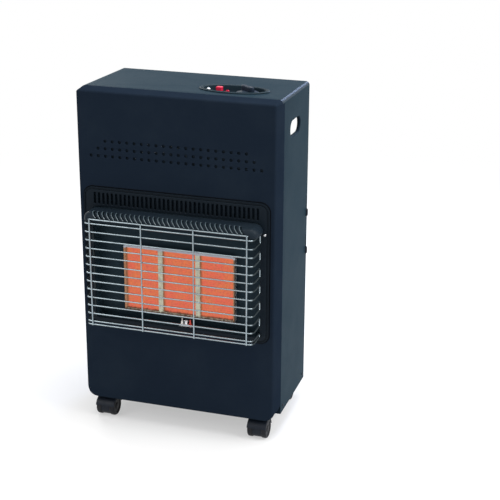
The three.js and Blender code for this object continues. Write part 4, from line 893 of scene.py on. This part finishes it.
def make_bezel():
    """Plate round the window with a row of upright slots in its head, and a bead and a groove round it."""
    outer = box_loop(-196, 196, 224, 519, 19, steps=10)
    section = [
        (0, -0.3), (0, -2.3), (0.3, -2.8), (0.9, -3.0), (1.5, -2.8), (1.8, -2.3), (2.0, -0.9), (5.9, -0.9), (5.9, -0.3)]
    channel = grid(np.array([flat((outer(k), []), y, "back")[0] for k, y in section]), round_rows=True, round_columns=True)
    slots = [box_loop(x - 2.3, x + 2.3, 484, 508, 1.6, steps=2) for x in (np.arange(38) - 18.5) * 9.3]
    inner = box_loop(-190.4, 190.4, 229.6, 513.4, 13.4, steps=10)
    return together(channel, plate([inner, box_loop(*APERTURE, 8), *slots], -3.3, -0.3, 1.1))


def make_hood():
    """Curved hood and the lips of its slots: the nose is a quarter round carried along the front and
    round both corners, and its slots lean along it."""
    nose = np.radians(np.linspace(90, 0, 7))
    inset = np.concatenate([[35.0, 16.0], HOOD_NOSE * (1 - np.cos(nose)), [0.0]])
    level = np.concatenate([[HOOD_TOP] * 2, HOOD_TOP - HOOD_NOSE * (1 - np.sin(nose)), [HOOD_FOOT]])
    inset, level = np.insert(inset, 0, HOOD_REACH - 3.6), np.insert(level, 0, HOOD_TOP)
    slot_edges = ((np.arange(32) - 15.5) * 9.9)[:, None] + (-2.5, 2.5)
    xs = np.concatenate([[-167.0], slot_edges.ravel(), [167.0]])
    lean = np.zeros((len(inset), len(xs)))
    lean[:, 1:-1] = HOOD_LEAN * np.interp(level, (HOOD_TOP - HOOD_NOSE, HOOD_TOP), (0.5, -0.5))[:, None]
    front = np.stack(np.broadcast_arrays(xs + lean, (inset - HOOD_REACH)[:, None], level[:, None]), -1)
    gone = np.zeros((len(inset) - 1, len(xs) - 1), bool)
    gone[2:8, 1::2] = True
    surfaces = [grid_without(front, gone)]
    lips = [tube(front[2:9, column] + (0.0, -0.25, 0.35), 0.75, 6) for column in range(1, len(xs) - 1, 2)]
    turn = np.radians(np.linspace(0, 90, 7))
    for side in (-1, 1):
        rows = []
        for distance, z in zip(inset[2:], level[2:]):
            radius = 16.0 - distance
            around = np.stack([side * (167 + radius * np.sin(turn)), -29 - radius * np.cos(turn), z + 0 * turn], -1)
            back = [(side * (183 - distance), y, z) for y in (-10.0, -3.6)]
            rows.append(np.concatenate([around, back]))
        surfaces.append(grid(np.array(rows)))
    return together(*surfaces), together(*lips)


def hood_rim():
    """The rolled lower edge of the hood."""
    plan = rounded([(-182.2, -3.6), (-182.2, -44.2), (182.2, -44.2), (182.2, -3.6)], 15.2, 8)
    return tube(np.column_stack([plan, np.full(len(plan), HOOD_FOOT + 0.9)]), 0.9, 10)


def make_guard():
    """Pairs of level wires, each pair one wire closed at the bezel, welded to four uprights."""
    wire, front, back, end = 1.5, -46.8, -5.1, 178.0
    firsts = 456.0 - np.arange(12) * 193.0 / 11
    pairs = [(firsts[i], firsts[i + 1]) for i in range(0, 12, 2)] + [(246.0, 239.0)]
    wires = []
    for high, low in pairs:
        bend = min(4.0, (high - low) * 0.4)
        run = [(-end, front), (end, front), (end, back)]
        loop = [(0, front, high)] + [(x, y, high) for x, y in run[1:]] + [(end, back, low), (end, front, low)]
        loop += [(-end, front, low), (-end, back, low), (-end, back, high), (-end, front, high), (0, front, high)]
        line = rounded(loop, [8, bend, bend, 8, 8, bend, bend, 8], 5)
        wires.append(tube(line[:-1], wire, 10, closed=True))
    wires.append(tube([(-167, front, 465), (167, front, 465)], wire, 10))
    for x in (-164.55, -54.85, 54.85, 164.55):
        wires.append(tube([(x, front - 2.4, 238), (x, front - 2.4, 466)], wire, 10))
        welds = [high for pair in pairs for high in pair] + [465]
        wires += [lozenge((1.9, 1.2, 1.5), (x, front - 1.2, z), 1.0, 6) for z in welds]
    return together(*wires)


PLAQUE_PITCH, PLAQUE_HALF = 80.667, 36.33
PLAQUE_FOOT, PLAQUE_TOP, PLAQUE_FACE, PLAQUE_BACK = 257.0, 392.0, 17.0, 28.0


def make_plaque(middle):
    """Ceramic tile whose face is a height field: a lattice of round dimples from three crossed waves."""
    x = np.linspace(-PLAQUE_HALF, PLAQUE_HALF, 124)
    z = np.linspace(PLAQUE_FOOT, PLAQUE_TOP, 228)
    x, z = np.meshgrid(x, z, indexing="ij")
    wave = 2 * math.pi / 3.1
    crossed = sum(np.cos(wave * (x * math.cos(a) + z * math.sin(a))) for a in np.radians([0, 60, 120]))
    dimple = np.clip((crossed + 0.2) / 2.2, 0, 1)
    border = np.minimum(PLAQUE_HALF - np.abs(x), np.minimum(z - PLAQUE_FOOT, PLAQUE_TOP - z))
    depth = PLAQUE_FACE + 0.75 * dimple * np.clip(border / 2.0, 0, 1)
    face = np.stack([x + middle, depth, z], -1)
    walled = np.pad(face, ((1, 1), (1, 1), (0, 0)), mode="edge")
    walled[[0, -1], :, 1] = walled[:, [0, -1], 1] = PLAQUE_BACK
    closed = np.pad(walled, ((1, 1), (1, 1), (0, 0)), mode="edge")
    centre = (middle, PLAQUE_BACK, (PLAQUE_FOOT + PLAQUE_TOP) / 2)
    closed[[0, -1]] = closed[:, [0, -1]] = centre
    return grid(closed)


def add_window():
    piece("window_bezel", make_bezel(), "black_enamel", stands_for=["burner_surround"])
    # a near-black band round the bezel: a thin seal, and painted shade that deepens the gap between bezel and panel
    seal_and_shade_loops = [box_loop(-k, k, 224 + 196 - k, 519 - 196 + k, k - 177, steps=10) for k in (198.0, 196.2)]
    piece("bezel_seal_and_gap_shade", plate(seal_and_shade_loops, -0.9, -0.05, 0.3), "seal_and_gap_shade")
    sheet, lips = make_hood()
    piece("hood_sheet", sheet, "hood_enamel", stands_for=["deflector_hood"], wall=SHEET)
    # the lips' pale colour is a painted highlight
    piece("hood_slot_lips", lips, "hood_lip_highlight")
    piece("hood_rim", hood_rim(), "hood_enamel")
    piece("guard_wires", make_guard(), "guard_chrome", stands_for=["wire_guard"], crease=60)
    windows = [
        box_loop(x - 35.33, x + 35.33, 258, 391, 1.2, steps=2) for x in (-PLAQUE_PITCH, 0.0, PLAQUE_PITCH)]
    frame_plate = plate([box_loop(-120.5, 120.5, 253, 396, 3.5), *windows], 13.0, 16.7, 0.8)
    piece("burner_frame_plate", frame_plate, "burner_steel", stands_for=["burner_frame"])
    for index, side in enumerate(("left", "centre", "right")):
        piece(f"plaque_{side}_tile", make_plaque((index - 1) * PLAQUE_PITCH), "glowing_ceramic",
              stands_for=[f"plaque_{side}"], crease=50)
    # painted shade: two of the four like screws are near black so that they look unlit; the other two are bright steel
    bright, shaded_screws = [(-183, -3.3, 243), (187, -3.3, 455)], [(183, -3.3, 243), (-187, -3.3, 455)]
    piece("bezel_screws_bright", make_screws(bright, (0, -1, 0), 2.6, 1.6), "bright_steel")
    piece("bezel_screws_shaded", make_screws(shaded_screws, (0, -1, 0), 2.6, 1.6), "black_enamel")
    add_pilot()


def add_pilot():
    """Pilot burner, spark electrode and thermocouple side by side on their small plate."""
    y, floor = 8.0, 236.0
    top = floor + 1.8
    bracket = plate([box_loop(2, 32, 2, 14, 3, steps=4)], floor, top, 0.3, "up")
    burner = turned([(0, 227), (2.8, 227), (2.8, top), (3.6, top), (3.6, 245), (3.2, 246), (2.4, 248.5), (0, 249)], 24)
    hood = plate([box_loop(12, 22, 5, 12.7, 1.5, steps=3)], 247.6, 249.0, 0.3, "up")
    piece("pilot_burner_body", together(bracket, moved(burner, 17, y), hood, moved(nut(9, 4), 17, y, top)),
          "bright_steel", stands_for=["pilot_burner"])
    insulator = [(0, 227), (2.6, 227), (2.9, 229), (3.0, 241.5), (2.4, 243), (2.4, 244), (1.9, 246.8), (0.8, 246.9)]
    piece("electrode_insulator", moved(turned(insulator + [(0.8, 252.2), (0.4, 252.8), (0, 252.8)], 24), 8, y),
          "white_ceramic", stands_for=["spark_electrode"])
    tip = [(0, 227), (2.4, 227), (2.4, 244.2), (2.0, 245.2), (1.6, 250), (1.0, 250.8), (0, 250.8)]
    piece("thermocouple_tip", together(moved(turned(tip, 24), 26, y), moved(nut(8, 4), 26, y, top)),
          "hot_copper", stands_for=["thermocouple"])


# ---------------------------------------------------------------- controls

DISH_CENTRE, DISH_HALF = (92.5, 92.0), (72.5, 38.0)
KNOB, BUTTON = (120.0, 92.0), (61.0, 92.0)
GRIP_TURN = -40.0  # degrees from +X of the knob's grip at rest


def make_dish():
    """Oval dish: a profile of (inset, height) carried round an ellipse, with ridges on its rim."""
    ridges = [(k + dk, 720.3 - dz) for k in (2.6, 4.6, 6.6) for dk, dz in ((0, 0), (0.35, 0.6), (1.0, 0.6), (1.35, 0))]
    ripples = [(k + dk, 706 - dz) for k in (16, 20, 24) for dk, dz in ((0, 0), (0.5, 0.5), (1.2, 0.5), (1.7, 0))]
    profile = [
        (38, 704), (7.6, 704), (6.6, 704.4), (6.4, 705), (6.4, 718.3), (0.6, 718.3), (0.1, 718.7), (0.0, 719.4),
        (0.4, 720.0), (1.2, 720.3), *ridges, (8.4, 720.1), (8.8, 719.2), (9.2, 712), (9.6, 708.2), (10.6, 706.5),
        (12.4, 706), *ripples, (38, 706)]
    inset, level = np.array(profile).T[:, :, None]
    angle = np.linspace(0, 2 * math.pi, 96, endpoint=False)[None, :]
    points = np.stack([
        DISH_CENTRE[0] + (DISH_HALF[0] - inset) * np.cos(angle), DISH_CENTRE[1] + (DISH_HALF[1] - inset) * np.sin(angle),
        level + 0 * angle], -1)
    return grid(points, round_columns=True)


SPINDLE_BORE, BORE_TOP = 4.4, 721.4


def grip_ring(inset):
    """Outline of the knob's grip: a superellipse with a slight waist, as far inside as inset says."""
    angle = np.linspace(0, 2 * math.pi, 80, endpoint=False)
    c, s = np.cos(angle), np.sin(angle)
    x = (20.4 - inset) * np.sign(c) * np.abs(c) ** 0.5
    half_width = 5.9 * (1 - 0.12 * np.exp(-((x / 8.0) ** 2))) - inset
    return np.stack([x, half_width * np.sign(s) * np.abs(s) ** 0.6], -1)


def make_knob():
    """Skirt with a finely notched edge and a waisted grip across it, both bored for the spindle."""
    angle = np.linspace(0, 2 * math.pi, 144, endpoint=False)[None, :]
    profile = np.array([
        (SPINDLE_BORE, 712), (21.8, 712), (22.8, 712.8), (22.8, 714.6), (22.0, 715.4), (18.5, 716.4), (15.5, 716.9),
        (14.6, 717.8), (13, 718.0), (SPINDLE_BORE, 718.2), (SPINDLE_BORE, 712)])
    notch = np.where((profile[:, :1] > 22.5), 0.35, 0.0) * (np.sin(36 * angle) > 0.2)
    radius = profile[:, :1] - notch
    skirt = grid(np.stack([
        radius * np.cos(angle), radius * np.sin(angle), profile[:, 1:] + 0 * angle], -1), round_columns=True)
    levels = ((0.1, 717.6), (0.0, 719.0), (0.4, 724.4), (0.9, 726.2), (1.6, 727.2), (2.6, 727.7))
    walls = grid(np.array([flat((grip_ring(k), []), z, "up")[0] for k, z in levels]), round_columns=True)
    bore = arc(0, 0, SPINDLE_BORE, 0, 360, 32)[:-1]
    under = flat(filled([grip_ring(levels[0][0]), bore]), levels[0][1], "up")
    lining = grid(np.array([flat((bore, []), z, "up")[0] for z in (levels[0][1], BORE_TOP)]), round_columns=True)
    ceiling = flat(filled([bore]), BORE_TOP, "up")
    crown = flat(filled([grip_ring(levels[-1][0])]), levels[-1][1], "up")
    return moved(together(skirt, walls, under, lining, ceiling, crown), *KNOB, turn=GRIP_TURN)


def add_controls():
    piece("control_dish", make_dish(), "inner_enamel", stands_for=["control_panel"])
    piece("knob_moulding", make_knob(), "knob_plastic", "control_knob", ["control_knob"])
    line = moved(lozenge((4.4, 0.6, 0.3), (12.4, 0, 727.65), 0.5, 10), *KNOB, turn=GRIP_TURN)
    piece("knob_index_line", line, "bead_highlight_and_index_grey", "control_knob")
    piece("button_moulding", lozenge((6, 6, 6.5), (*BUTTON, 716.0), 0.22, 28), "red_plastic",
          "igniter_button", ["igniter_button"])
    dots = together(lozenge((3.6, 3.6, 6.4), (38, 92, 711.8), 0.5, 16), lozenge((2.4, 2.4, 4.6), (50.5, 90, 710.2), 0.5, 14))
    piece("dish_white_pips", dots, "white_print")
    dashes = together(*[lozenge((3.4, 1.3, 4.8), (76, y, 710.4), 0.4, 14) for y in (86, 98)])
    piece("dish_red_marks", dashes, "red_plastic")

    body = rounded([(0, 660), (17, 660), (17, 668), (20, 670), (20, 703.7), (0, 703.7)], [1.2, 1, 1, 1.5], 3)
    boss = plate([box_loop(103, 123, 668.7, 691.7, 4, steps=4)], 96, 134, 1.4)
    ports = [moved(nut(across, 6), x, y, 655.5) for x, y, across in ((108, 78, 13), (120, 78, 9), (131, 78, 8))]
    bolts = make_screws([(107, 134, 688), (119, 134, 672.5)], (0, 1, 0), 2.2, 1.6)
    piece("gas_valve_casting", together(moved(turned(body, 48), *KNOB), boss, *ports, bolts), "zinc_casting",
          stands_for=["gas_valve"])
    barbs = [(r, 636.5 + k) for k, r in (
        (0, 4.6), (0.3, 5.2), (1.0, 5.7), (5.6, 6.2), (6.0, 5.6), (10.6, 6.2), (11, 5.6), (20, 5.8))]
    nozzle = together(turned([(0, 636.5), *barbs, (0, 656.5)], 32), moved(nut(19, 11.5), 0, 0, 656.6))
    piece("inlet_nozzle_brass", moved(nozzle, 113, 123), "brass", stands_for=["inlet_nozzle"])


def add_lines():
    """Supply pipe, pilot pipe, thermocouple lead and ignition lead, on smooth curves."""
    supply = [
        (108, 78, 659.7), (108, 78, 639.7), (112, 73, 609.7), (124, 60, 574.7), (128, 56, 549.7), (128, 56, 459.7),
        (128, 56, 266), (128, 55, 226), (122, 50, 204), (112, 45, 196), (101, 43, 196), (95, 43, 196)]

    def thin(x, level, riser, port):
        return [
            (x, 8, 226.7), (x, 9, 220.7), (x + 4, 16, level + 2), (x + 16, 20, level), (riser - 24, 20, level),
            (riser - 6, 30, level + 5), (riser, 42, level + 20), (riser, 47, level + 120), (riser, 47, 549.7),
            (riser - 4, 56, 604.7), (port, 78, 641.7), (port, 78, 659.7)]

    ignition = [
        (8, 8, 226.7), (8, 9, 220.7), (3, 16, 218), (-12, 20, 216), (-108, 20, 216), (-128, 30, 221), (-134, 42, 236),
        (-134, 45, 376), (-134, 45, 529.7), (-124, 52, 579.7), (-70, 70, 623.7), (20, 86, 631.7), (53, 92, 637.7),
        (61, 92, 647.7), (61, 92, 659.7)]
    for name, route, diameter, finish, node in (
            ("supply_pipe_steel", supply, 8.0, "bright_steel", "supply_pipe"),
            ("pilot_pipe_copper", thin(17, 206, 139, 120), 4.0, "copper", "pilot_pipe"),
            ("thermocouple_lead_copper", thin(26, 216, 148, 131), 2.6, "copper", "thermocouple_lead"),
            ("ignition_lead_cable", ignition, 3.0, "black_plastic", "ignition_lead")):
        piece(name, tube(smooth_line(route, 6), diameter / 2, 14), finish, stands_for=[node], crease=60)


# ---------------------------------------------------------------- cylinder

AXIS_Y = 235.0
CYLINDER_RADIUS, SHOULDER, DOME_RISE = 159.0, 470.0, 97.0
NECK_RADIUS, NECK_TOP = 22.0, 579.8
COLLAR_RADIUS, COLLAR_TOP, COLLAR_WALL = 72.6, 648.0, 2.6
RING_RADIUS, RING_FOOT, RING_TOP = 155.0, 58.5, 114.0


def make_cylinder():
    """Pressed shell: curved base, straight wall and elliptical dome, with a welded neck."""
    base = rounded([(0, 78.5), (79.5, 84.5), (130.4, 98.5), (155, 118.5), (159, 140)], [60, 60, 25], 6)
    share = np.sin(np.radians(np.linspace(90, 9.6, 26)))
    dome = np.stack([CYLINDER_RADIUS * share, SHOULDER + DOME_RISE * np.sqrt(1 - share**2)], -1)
    foot = SHOULDER + DOME_RISE * math.sqrt(1 - (26.5 / CYLINDER_RADIUS) ** 2)
    neck = rounded([(28.0, foot - 0.2), (NECK_RADIUS + 0.5, foot + 3), (NECK_RADIUS, NECK_TOP), (0, NECK_TOP)], [4, 1.5], 4)
    return turned(np.concatenate([base, dome[dome[:, 0] > 28.5], neck]), 112)


def make_collar():
    """C-shaped guard collar: full height but for an opening, where only a low band is left."""
    inner = COLLAR_RADIUS - COLLAR_WALL
    low = SHOULDER + DOME_RISE * math.sqrt(1 - (inner / CYLINDER_RADIUS) ** 2) + 0.3
    mid = low + 8.0
    turn = np.radians(np.concatenate([np.linspace(104, 374, 91), np.linspace(14, 104, 31)[1:-1] + 360]))
    ring = np.stack([np.cos(turn), np.sin(turn)], -1) * COLLAR_RADIUS
    band = np.stack([np.column_stack([ring, np.full(len(ring), z)]) for z in (low, mid)])
    tall = ring[:91]
    from_end = COLLAR_RADIUS * np.minimum(turn[:91] - turn[0], turn[90] - turn[:91])
    corner = 14.0
    drop = corner - np.sqrt(np.clip(corner**2 - np.clip(corner - from_end, 0, corner) ** 2, 0, None))
    share = np.linspace(0, 1, 9)[:, None]
    level = mid + (COLLAR_TOP - 2.2 - drop - mid) * share
    wall = np.concatenate([np.broadcast_to(tall, (9, 91, 2)), level[:, :, None]], -1)
    edge = np.column_stack([tall * (1 - COLLAR_WALL / 2 / COLLAR_RADIUS), level[-1]])
    ends = [np.column_stack([np.tile(edge[k, :2], (2, 1)), [mid + 2.5, level[-1, k]]]) for k in (0, -1)]
    rim = np.concatenate([ends[0], edge[1:-1], ends[1][::-1]])
    return together(grid(band, round_columns=True), grid(wall)), tube(rim, 2.1, 10)


def make_foot_ring():
    """Ring under the cylinder: six slots whose sides slant, cut where the grid's columns follow them."""
    levels = np.array([RING_FOOT + 1.0, 66, 74, 82, 90.0, 98, 106.0, 110, RING_TOP])
    half = np.interp(levels, [90.0, 106.0], [20.0, 26.0]) / RING_RADIUS
    sixth = math.pi / 3
    inside = np.linspace(-1, 1, 7)[None, :] * half[:, None]
    outside = half[:, None] + (sixth - 2 * half[:, None]) * np.linspace(0, 1, 13)[None, 1:-1]
    pattern = np.concatenate([inside, outside], 1)
    starts = np.radians(75 + 60 * np.arange(6))
    angle = (starts[None, :, None] + pattern[:, None, :]).reshape(len(levels), -1)
    points = np.stack([RING_RADIUS * np.cos(angle), RING_RADIUS * np.sin(angle), levels[:, None] + 0 * angle], -1)
    closed = np.concatenate([points, points[:, :1]], 1)
    gone = np.zeros((len(levels) - 1, closed.shape[1] - 1), bool)
    column = np.arange(closed.shape[1] - 1) % pattern.shape[1]
    gone[4:6, column < 6] = True
    foot = arc(0, 0, RING_RADIUS - 1.3, 0, 360, 96)[:-1]
    bead = tube(np.column_stack([foot, np.full(len(foot), RING_FOOT + 2.4)]), 2.4, 10, closed=True)
    weld = arc(0, 0, RING_RADIUS - 0.6, 0, 360, 96)[:-1]
    seam = tube(np.column_stack([weld, np.full(len(weld), RING_TOP + 0.6)]), 1.9, 8, closed=True)
    return grid_without(closed, gone), together(bead, seam)


def add_cylinder():
    piece("cylinder_shell", moved(make_cylinder(), y=AXIS_Y), "cylinder_paint", stands_for=["cylinder_body"])
    wall, rim = make_collar()
    piece("collar_sheet", moved(wall, y=AXIS_Y), "cylinder_paint", stands_for=["cylinder_collar"],
          wall=COLLAR_WALL)
    piece("collar_rim", moved(rim, y=AXIS_Y), "cylinder_paint")
    ring, beads = make_foot_ring()
    piece("foot_ring_sheet", moved(ring, y=AXIS_Y), "cylinder_paint", stands_for=["cylinder_foot_ring"],
          wall=COLLAR_WALL)
    piece("foot_ring_beads", moved(beads, y=AXIS_Y), "cylinder_paint")
    stem = rounded([
        (0, 564), (13.7, 564), (13.7, 588), (12, 589), (12, 600), (14, 606), (17.5, 608), (17.5, 620.5), (15.5, 622),
        (0, 622)], [0, .6, .6, 1.5, 1.5, .8, 1.2, .8], 3)
    valve = together(turned(stem, 48), moved(nut(34, 8), z=580.2))
    piece("cylinder_valve_brass", moved(valve, y=AXIS_Y), "brass", stands_for=["cylinder_valve"])
    add_regulator()


def add_regulator():
    """Clip-on regulator: a pressed case with a crimped rim over a skirt, and a barbed nozzle."""
    case = rounded([
        (17.9, 627.5), (26, 627.2), (36.5, 630.5), (38.2, 633.2), (41, 633.6), (41, 639.4), (38.4, 640), (36.8, 643.2),
        (27, 646.6), (19, 647.4), (17.4, 650.2), (12, 651), (0, 651)], [2, 4, 1, 1, 1, 1, 4, 3, 1.5, 1.5, 1], 3)
    angle = np.linspace(0, 2 * math.pi, 120, endpoint=False)[None, :]
    crimp = 0.35 * (np.abs(case[:, :1] - 41) < 0.5) * (np.cos(30 * angle) > 0)
    radius = case[:, :1] - crimp
    shell = grid(np.stack([
        radius * np.cos(angle), radius * np.sin(angle), case[:, 1:] + 0 * angle], -1), round_columns=True)
    skirt = rounded([
        (17.9, 600.2), (22, 600.2), (23, 601.4), (23, 604.4), (21.8, 605.6), (21.8, 616), (23, 618), (23, 629),
        (17.9, 629), (17.9, 600.2)], [.4, .4, .6, .6, 1, 1, .5, .4], 2)
    toward = np.array([math.sin(math.radians(60)), math.cos(math.radians(60)), 0.0]) * math.cos(math.radians(24.8))
    toward[2] = -math.sin(math.radians(24.8))
    tip = np.array([45.03, 26.0, 632.9])
    barbs = [(0, -0.5), (4.4, -0.5), (5.2, 0.4), (5.9, 3), (6.2, 6), (5.4, 6.4), (6.2, 11), (5.4, 11.4), (5.5, 17), (5.5, 30), (0, 30)]
    nozzle = aimed(turned([(r, -k) for r, k in barbs], 28), tip, toward)
    collar = aimed(nut(15, 6), tip - toward * 22, toward)
    piece("regulator_casting", moved(together(shell, turned(skirt, 56), nozzle, collar), y=AXIS_Y), "zinc_casting",
          stands_for=["regulator_body"])
    vent = [(0, 648.6), (9, 648.6), (9.4, 650.4), (8.6, 651.6), (0, 651.9)]
    piece("regulator_vent_cap", moved(turned(vent, 40), y=AXIS_Y), "black_plastic")

    base = aimed(turned(rounded([(0, 0), (10.6, 0), (10.9, 3.4), (9.6, 5.8), (0, 6)], [.5, 1.5, 1], 4), 48), (0, 258.3, 610), (0, 1, 0))
    grip = lozenge((2.9, 6.4, 10), (0, 264.9, 610), 0.3, 20)
    piece("switch_moulding", together(base, grip), "black_plastic", "regulator_switch", ["regulator_switch"])
    piece("switch_pointer", lozenge((1.1, 0.5, 3.2), (0, 270.9, 615), 0.5, 10), "red_plastic", "regulator_switch")


# ---------------------------------------------------------------- belt

BELT_FOOT, BELT_TOP, BELT_BACK, BELT_SHEET = 338.0, 449.0, 402.0, 1.5


def add_belt():
    """Sheet-steel belt bent round the cylinder: beaded edges, a beaded slot, and tabs in the walls."""
    corners = [(-187.5, 221), (-184.5, 230), (-95.3, BELT_BACK), (95.3, BELT_BACK), (184.5, 230), (187.5, 221)]
    line = rounded(corners, [2, 9, 9, 2], 8)
    low, high = BELT_FOOT + 1.9, BELT_TOP - 1.9
    flat_start = next(i for i, (x, y) in enumerate(line) if y > BELT_BACK - 1e-6)
    flat_end = len(line) - 1 - flat_start
    x0 = line[flat_start][0]
    slot = slot_loop(0, 401.5, 90, 26, 10)
    back = flat(filled([np.array([(x0, low), (-x0, low), (-x0, high), (x0, high)]), slot()]), BELT_BACK, "back")
    wings = []
    for part in (line[:flat_start + 1], line[flat_end:]):
        wings.append(grid(np.array([np.column_stack([part, np.full(len(part), z)]) for z in (low, high)])))
    piece("belt_sheet", together(back, *wings), "belt_paint", "retaining_belt", ["retaining_belt"],
          wall=BELT_SHEET)
    inner = rounded([(x * 0.9985, y - 0.25 * (y > 300)) for x, y in corners], [2, 9, 9, 2], 8)
    beads = [tube(np.column_stack([inner, np.full(len(inner), z)]), 1.9, 10) for z in (low, high)]
    hole = flat((slot(-0.6), []), BELT_BACK - 0.5, "back")[0]
    beads.append(tube(hole, 1.7, 10, closed=True))
    # the beads' pale colour is a painted highlight
    piece("belt_beads", together(*beads), "bead_highlight_and_index_grey", "retaining_belt")
    tabs = []
    for z in (342.0, 427.0):
        for side in (-1, 1):
            ends = sorted((side * 185.6, side * 214.0))
            tabs.append(plate([box_loop(*ends, z, z + 18, 4, steps=4)], 221, 222.5, 0.5))
    piece("belt_tabs", together(*tabs), "belt_paint", "retaining_belt")


# ---------------------------------------------------------------- castors

CASTORS = {
    "front_left": (-170, 38, 180), "front_right": (170, 38, 180), "rear_left": (-170, 190, 0),
    "rear_right": (170, 190, 0), "tail": (0, 372, 0)}
TRAIL, WHEEL = 14.0, 20.0


def make_wheel(side):
    """Nylon wheel: a crowned tread, rounded shoulders and a dished outer face with a hub cap."""
    profile = rounded([
        (0, 9.6), (6.5, 9.6), (7.0, 10.6), (15.5, 10.6), (16.5, 9.7), (19.2, 9.7), (WHEEL, 11.4), (WHEEL, 17.6),
        (18.6, 20.5), (15.6, 20.7), (14.4, 19.0), (7.4, 18.6), (6.4, 20.2), (3.4, 20.7), (0, 20.75)],
        [.4, .4, .4, .4, .8, 2, 3, 2, .8, .8, .6, .8, 1.5], 4)
    return aimed(turned(profile, 64), (0, TRAIL, WHEEL), (side, 0, 0))


def make_castor_hood():
    """Fender over both wheels, the web between them and the turntable on top."""
    section = np.array([
        (-20.8, 21.0), (-20.8, 21.9), (-20.4, 22.5), (-19.6, 22.8), (19.6, 22.8), (20.4, 22.5), (20.8, 21.9), (20.8, 21.0)])
    angle = np.radians(np.linspace(18, 172, 37))[:, None]
    across, radius = section[None, :, 0] + 0 * angle, section[None, :, 1]
    fender = np.stack([across, TRAIL + radius * np.cos(angle), WHEEL + radius * np.sin(angle)], -1)
    surface, faces = grid(fender, round_columns=True)
    count = len(section)
    faces += [list(range(count)), list(range(len(surface) - count, len(surface)))[::-1]]
    outline = np.concatenate([
        [(-11, 48.9), (-11, 43.9), (-5, WHEEL)], arc(TRAIL, WHEEL, 18.5, 180, 423, 30)[1:], [(12, 43.9), (11, 48.9)]])
    web = plate([lambda inset: outline], -9.3, 9.3, 0.0, "across", 1)
    ribs = [aimed(turned([(0, 9.2), (r, 9.2), (r, 9.5), (0, 9.5)], 40), (0, TRAIL, WHEEL), (side, 0, 0))
            for side in (-1, 1) for r in (6.2,)]
    disc = turned(rounded([(0, 44.9), (12, 44.9), (13, 46), (13, 48.9), (0, 48.9)], [.5, .5, .5], 3), 40)
    return together((surface, faces), web, disc, *ribs)


def make_castor_plate():
    top = plate([box_loop(-20, 20, -20, 20, 4, steps=4)], 54.7, 56.7, 0.5, "up")
    cup = turned(rounded([(0, 49.2), (12.6, 49.2), (14, 50.6), (14, 54.9), (0, 54.9)], [1, 1.2, .5], 4), 48)
    stem = turned([(0, 32), (3.6, 32), (4, 32.4), (4, 49.4), (0, 49.4)], 20)
    rivets = make_screws([(x, y, 54.7) for x in (-15, 15) for y in (-15, 15)], (0, 0, -1), 3.0, 1.4)
    return together(top, cup, stem, rivets)


def add_castors():
    for name, (x, y, turn) in CASTORS.items():
        node = f"castor_{name}"
        piece(f"{node}_mounting", moved(make_castor_plate(), x, y, turn=turn), "bright_steel",
              stands_for=[f"{node}_plate"])
        piece(f"{node}_cover", moved(make_castor_hood(), x, y, turn=turn), "black_plastic",
              f"{node}_swivel", [f"{node}_hood"])
        for letter, side in (("a", 1), ("b", -1)):
            piece(f"{node}_tyre_{letter}", moved(make_wheel(side), x, y, turn=turn), "wheel_nylon",
                  f"{node}_wheels", [f"{node}_wheel_{letter}"])


# ---------------------------------------------------------------- everything

KEPT_NODES = {
    "base_pan": "cabinet_paint", "heat_shield": "galvanised_steel", "burner_housing": "inner_enamel",
    "burner_plenum": "galvanised_steel", "gas_manifold": "brass", "valve_spindle": "brass",
    "igniter_body": "black_plastic"}

add_camera()
add_hose()
add_stage()
add_cabinet()
add_window()
add_controls()
add_lines()
add_cylinder()
add_belt()
add_castors()
for node, finish in KEPT_NODES.items():
    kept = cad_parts[node]
    kept.data.materials.clear()
    kept.data.materials.append(finishes[finish])
